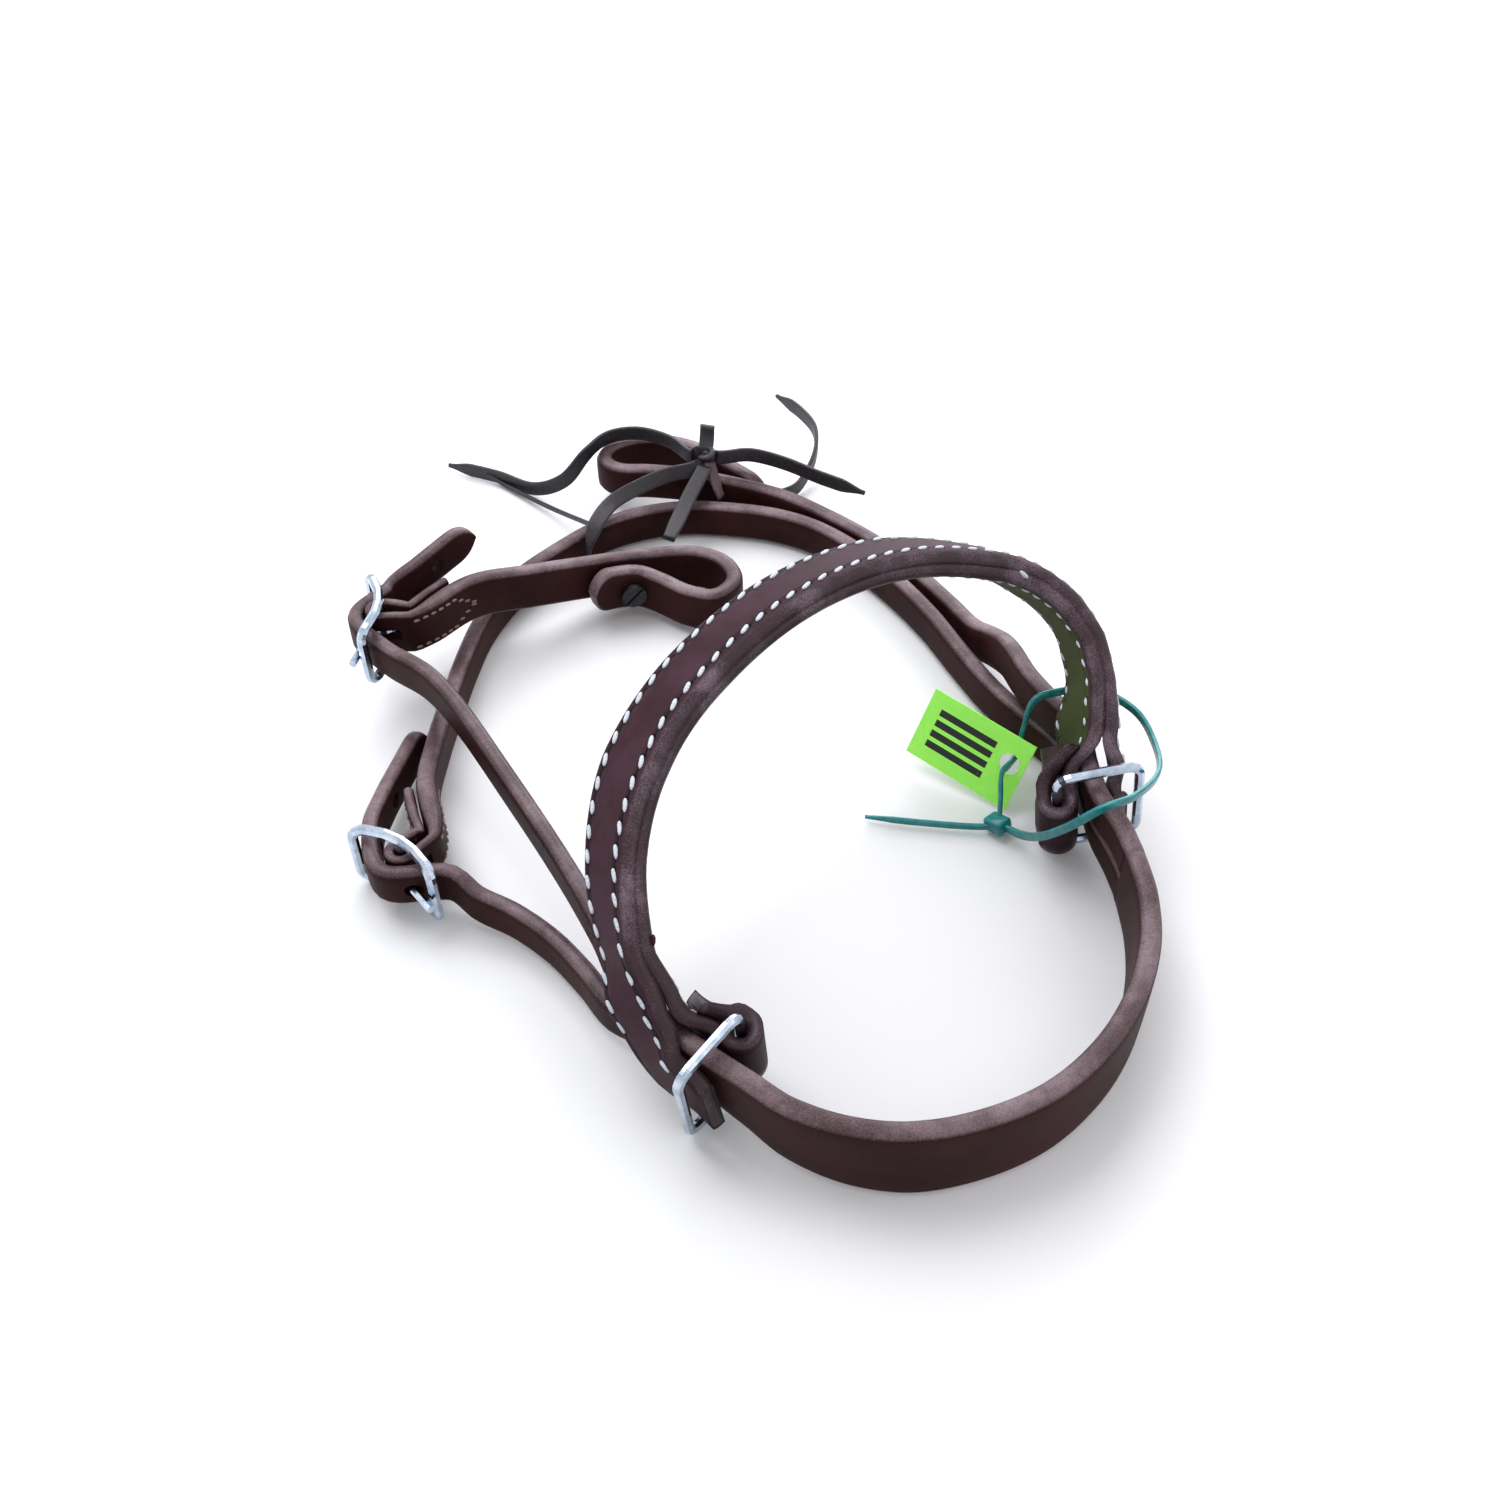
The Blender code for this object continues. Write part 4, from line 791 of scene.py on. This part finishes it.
# Knot: the thong wound round itself on top of the right bit loop.
turns = []
for k in range(61):
    turn = 1.4 * k / 60
    angle = 2 * math.pi * turn + 0.6
    reach = mix(0.7, 2.7, k / 60)
    turns.append((-9.5 + reach * math.cos(angle), 112.5 + reach * math.sin(angle), 22.6 + (turn - 0.7) * 2.4, 20))
route = Route(turns)
rows = []
for s in route.steps(0, route.length, 0.8):
    pos, _, wide, _ = route.at(s)
    rows.append((pos - wide * 1.6, pos + wide * 1.6, 1.0))
knot = strap("knot_turns", rows, 2.2, lace.mat, rounding=0.7)
ends = []
for half, stations in ((2.4, [(-9.8, 112.6, 22.6, 90), (-9.3, 115.6, 24.4, 90), (-9.0, 117.6, 27.0, 90), (-8.8, 118.4, 30.5, 90)]),
                       (1.9, [(-8.2, 110.6, 21.6, 75), (-6.9, 107.6, 18.6, 75), (-5.6, 105.6, 15.2, 75), (-4.4, 104.6, 12.0, 75)])):
    route = Route(stations)
    rows = []
    for s in route.steps(0, route.length, 1.0):
        pos, _, wide, _ = route.at(s)
        rows.append((pos - wide * half, pos + wide * half, 1.0))
    ends.append(strap("knot_end", rows, 1.3, lace.mat, rounding=0.5))
tab = ends.pop()
tab.name = "knot_tab"
tab.data.materials[0] = harness("tab_look", face=(0.110, 0.072, 0.082), tint=(0.200, 0.140, 0.155))
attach(tab, "leather")
knot = joined("knot_thong", [knot, *ends])
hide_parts("lace_knot")
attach(knot, "leather")

# Metal: bright nickel plate with fine scratches; the screw is blackened.
nickel = Look("nickel_look", metallic=1.0)
haze = nickel.noise(0.25, 4)
nick = nickel.noise(3.5, 3, 0.7, stretch=(1, 1, 0.2))
nickel.set("Base Color", nickel.blend(haze.ramp(0.3, 0.7), (0.36, 0.44, 0.54), (0.60, 0.68, 0.78)))
nickel.set("Roughness", haze * 0.12 + nick * 0.10 + 0.05)
nickel.bump(nick, 0.03, 0.5)
black = Look("screw_look", metallic=0.7)
rub = black.noise(1.5, 4)
black.set("Base Color", black.blend(rub.ramp(0.5, 0.8), (0.016, 0.016, 0.018), (0.09, 0.09, 0.10)))
black.set("Roughness", rub * 0.3 + 0.25)
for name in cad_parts:
    mat = black.mat if name.startswith("bit_screw") else nickel.mat if "buckle" in name or "loop" in name else None
    if mat:
        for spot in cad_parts[name].material_slots:
            spot.link = "OBJECT"
            spot.material = mat

# Cable tie: toothed strap through a ratchet head, with its pointed tail.
nylon = Look("nylon_look", Subsurface_Weight=0.08, Specular_IOR_Level=0.5)
milk = nylon.noise(0.4, 3)
nylon.set("Base Color", nylon.blend(milk.ramp(0.35, 0.65), (0.004, 0.190, 0.205), (0.012, 0.265, 0.280)))
nylon.set("Roughness", milk * 0.10 + 0.16)
nylon.bump(nylon.noise(1.8, 3), 0.03)
HEAD = Vector((71.0, -31.0, 3.2))
TIE_LOOP = [
    (76.0, -37.0, 5.6), (79.5, -45.0, 14.0), (84.5, -50.5, 24.0), (91.0, -52.0, 32.0), (99.0, -49.0, 33.0),
    (107.4, -38.0, 30.0), (109.2, -26.0, 28.0), (106.5, -13.0, 27.6), (97.0, -4.5, 27.6),
    (88.0, -5.5, 27.6), (81.0, -7.5, 26.2), (78.6, -10.4, 17.8), (77.4, -13.2, 11.9),
    (74.8, -17.2, 11.8), (72.3, -20.9, 11.9), (71.9, -26.0, 7.4),
]
tie_parts = []
for stations, width, thick in (([tuple(HEAD), *TIE_LOOP, (71.6, -29.8, 3.6)], 2.3, 1.3),
                               ([tuple(HEAD), (67.2, -31.2, 2.2), (52.0, -29.5, 1.8), (36.0, -27.0, 1.6)], 1.9, 1.2)):
    route = Route(stations)
    rows = []
    for k, s in enumerate(route.steps(0, route.length, 0.55)):
        pos, _, wide, _ = route.at(s)
        taper = 1.0 if width > 2 else min(1.0, 0.35 + (route.length - s) / 12.0)
        tooth = 1.0 - 0.07 * (k % 2)
        rows.append((pos - wide * width / 2 * taper, pos + wide * width / 2 * taper, tooth))
    tie_parts.append(strap("tie_strap", rows, thick, nylon.mat, rounding=0.35))
bm = bmesh.new()
bmesh.ops.create_cube(bm, size=1.0)
bmesh.ops.scale(bm, vec=(6.3, 5.0, 4.0), verts=bm.verts)
bmesh.ops.bevel(bm, geom=list(bm.edges), offset=0.9, segments=3, affect="EDGES", profile=0.5)
forward = (Vector(TIE_LOOP[0]) - HEAD).normalized()
side = Vector((0, 0, 1)).cross(forward).normalized()
turn = Matrix((forward, side, forward.cross(side))).transposed().to_4x4()
bmesh.ops.transform(bm, matrix=Matrix.Translation(HEAD + SHIFT) @ turn, verts=bm.verts)
bmesh.ops.scale(bm, vec=(MM, MM, MM), verts=bm.verts)
tie_parts.append(piece("tie_head", bm, nylon.mat))
tie = joined("tie_nylon", tie_parts)
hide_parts("cable_tie")
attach(tie, "tie")

# Tag: the CAD card, in lime stock with generic plain rules and boxes for its print, and a painted green glow.
card = Look("tag_look", roughness=0.55, Emission_Strength=0.22)
rules = Look.noise(card, 0.6, 3)
spot = card.tree.nodes.new("ShaderNodeSeparateXYZ")
card.tree.links.new(card.where, spot.inputs[0])
x, y, z = [Sum(card.tree, spot.outputs[k]) for k in range(3)]
low_tag, high_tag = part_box("price_tag")
middle = (Vector(low_tag) + Vector(high_tag)) / 2
long_way = Vector((0.80, -0.60, -0.12)).normalized()
level = Vector((0, 0, 1)).cross(long_way).normalized()
short_way = (level * math.cos(math.radians(62)) - level.cross(long_way) * math.sin(math.radians(62))).normalized()


def measured(way):
    """Millimetres from the card's middle along one of its directions."""
    return (x * way.x + y * way.y + z * way.z - way.dot(middle)) * 1000.0


u, v = measured(long_way), measured(short_way)
inside = (u + 3.0).abs().ramp(9.2, 8.8)
bar = ((v / 3.2).fract() - 0.5).abs().ramp(0.33, 0.29) * (v.abs()).ramp(7.2, 6.8) * inside
blot = rules.ramp(0.26, 0.30) * bar
stock = card.blend(rules.ramp(0.3, 0.7), (0.33, 0.90, 0.10), (0.40, 0.96, 0.16))
card.set("Base Color", card.blend(blot, stock, (0.008, 0.014, 0.009)))
# Painted glow: the card gives off green light of its own, though it is no lamp, except where it is printed.
card.set("Emission Color", card.blend(blot, (0.25, 0.90, 0.05), (0.0, 0.0, 0.0)))
card.bump(rules, 0.04)
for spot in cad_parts["price_tag"].material_slots:
    spot.link = "OBJECT"
    spot.material = card.mat

# Floor, light and background: pale, soft and even, as in the photograph.
bm = bmesh.new()
bmesh.ops.create_grid(bm, x_segments=1, y_segments=1, size=2.0)
floor_look = Look("floor_look", roughness=0.9)
paper = floor_look.noise(0.02, 2)


def seen_straight(tree):
    """1 for the camera's own rays and for those that metal and glass send on, 0 for lighting."""
    rays = tree.nodes.new("ShaderNodeLightPath")
    camera_ray, glossy, through_glass = [Sum(tree, rays.outputs[f"Is {kind} Ray"])
                                         for kind in ("Camera", "Glossy", "Transmission")]
    return camera_ray.max(glossy).max(through_glass)


straight = seen_straight(floor_look.tree)
white = floor_look.blend(paper, (0.95, 0.95, 0.95), (0.97, 0.97, 0.97))
floor_look.set("Base Color", floor_look.blend(straight, (0.42, 0.42, 0.43), white))
floor = piece("floor", bm, floor_look.mat)
floor.location.z = -0.0004

world = bpy.data.worlds.new("world")
bpy.context.scene.world = world
world.use_nodes = True
ground = world.node_tree.nodes["Background"]
ground.inputs["Color"].default_value = (0.97, 0.97, 1.0, 1)
strength = seen_straight(world.node_tree) * 0.30 + 0.70
world.node_tree.links.new(strength.socket, ground.inputs["Strength"])
for name, size, energy, place, colour in (
        ("key", 0.7, 6.4, (-0.35, 0.35, 0.85), (0.93, 0.95, 1.0)),
        ("fill", 0.9, 1.2, (0.75, -0.30, 0.60), (1.0, 0.96, 0.96)),
        ("back", 0.6, 4.8, (0.15, 0.85, 0.40), (0.95, 0.93, 1.0))):
    lamp = bpy.data.objects.new(name, bpy.data.lights.new(name, "AREA"))
    bpy.context.scene.collection.objects.link(lamp)
    lamp.data.size = size
    lamp.data.energy = energy
    lamp.data.color = colour
    lamp.location = place
    lamp.rotation_euler = (-Vector(place)).to_track_quat("-Z", "Y").to_euler()
bpy.context.scene.view_settings.view_transform = "Standard"
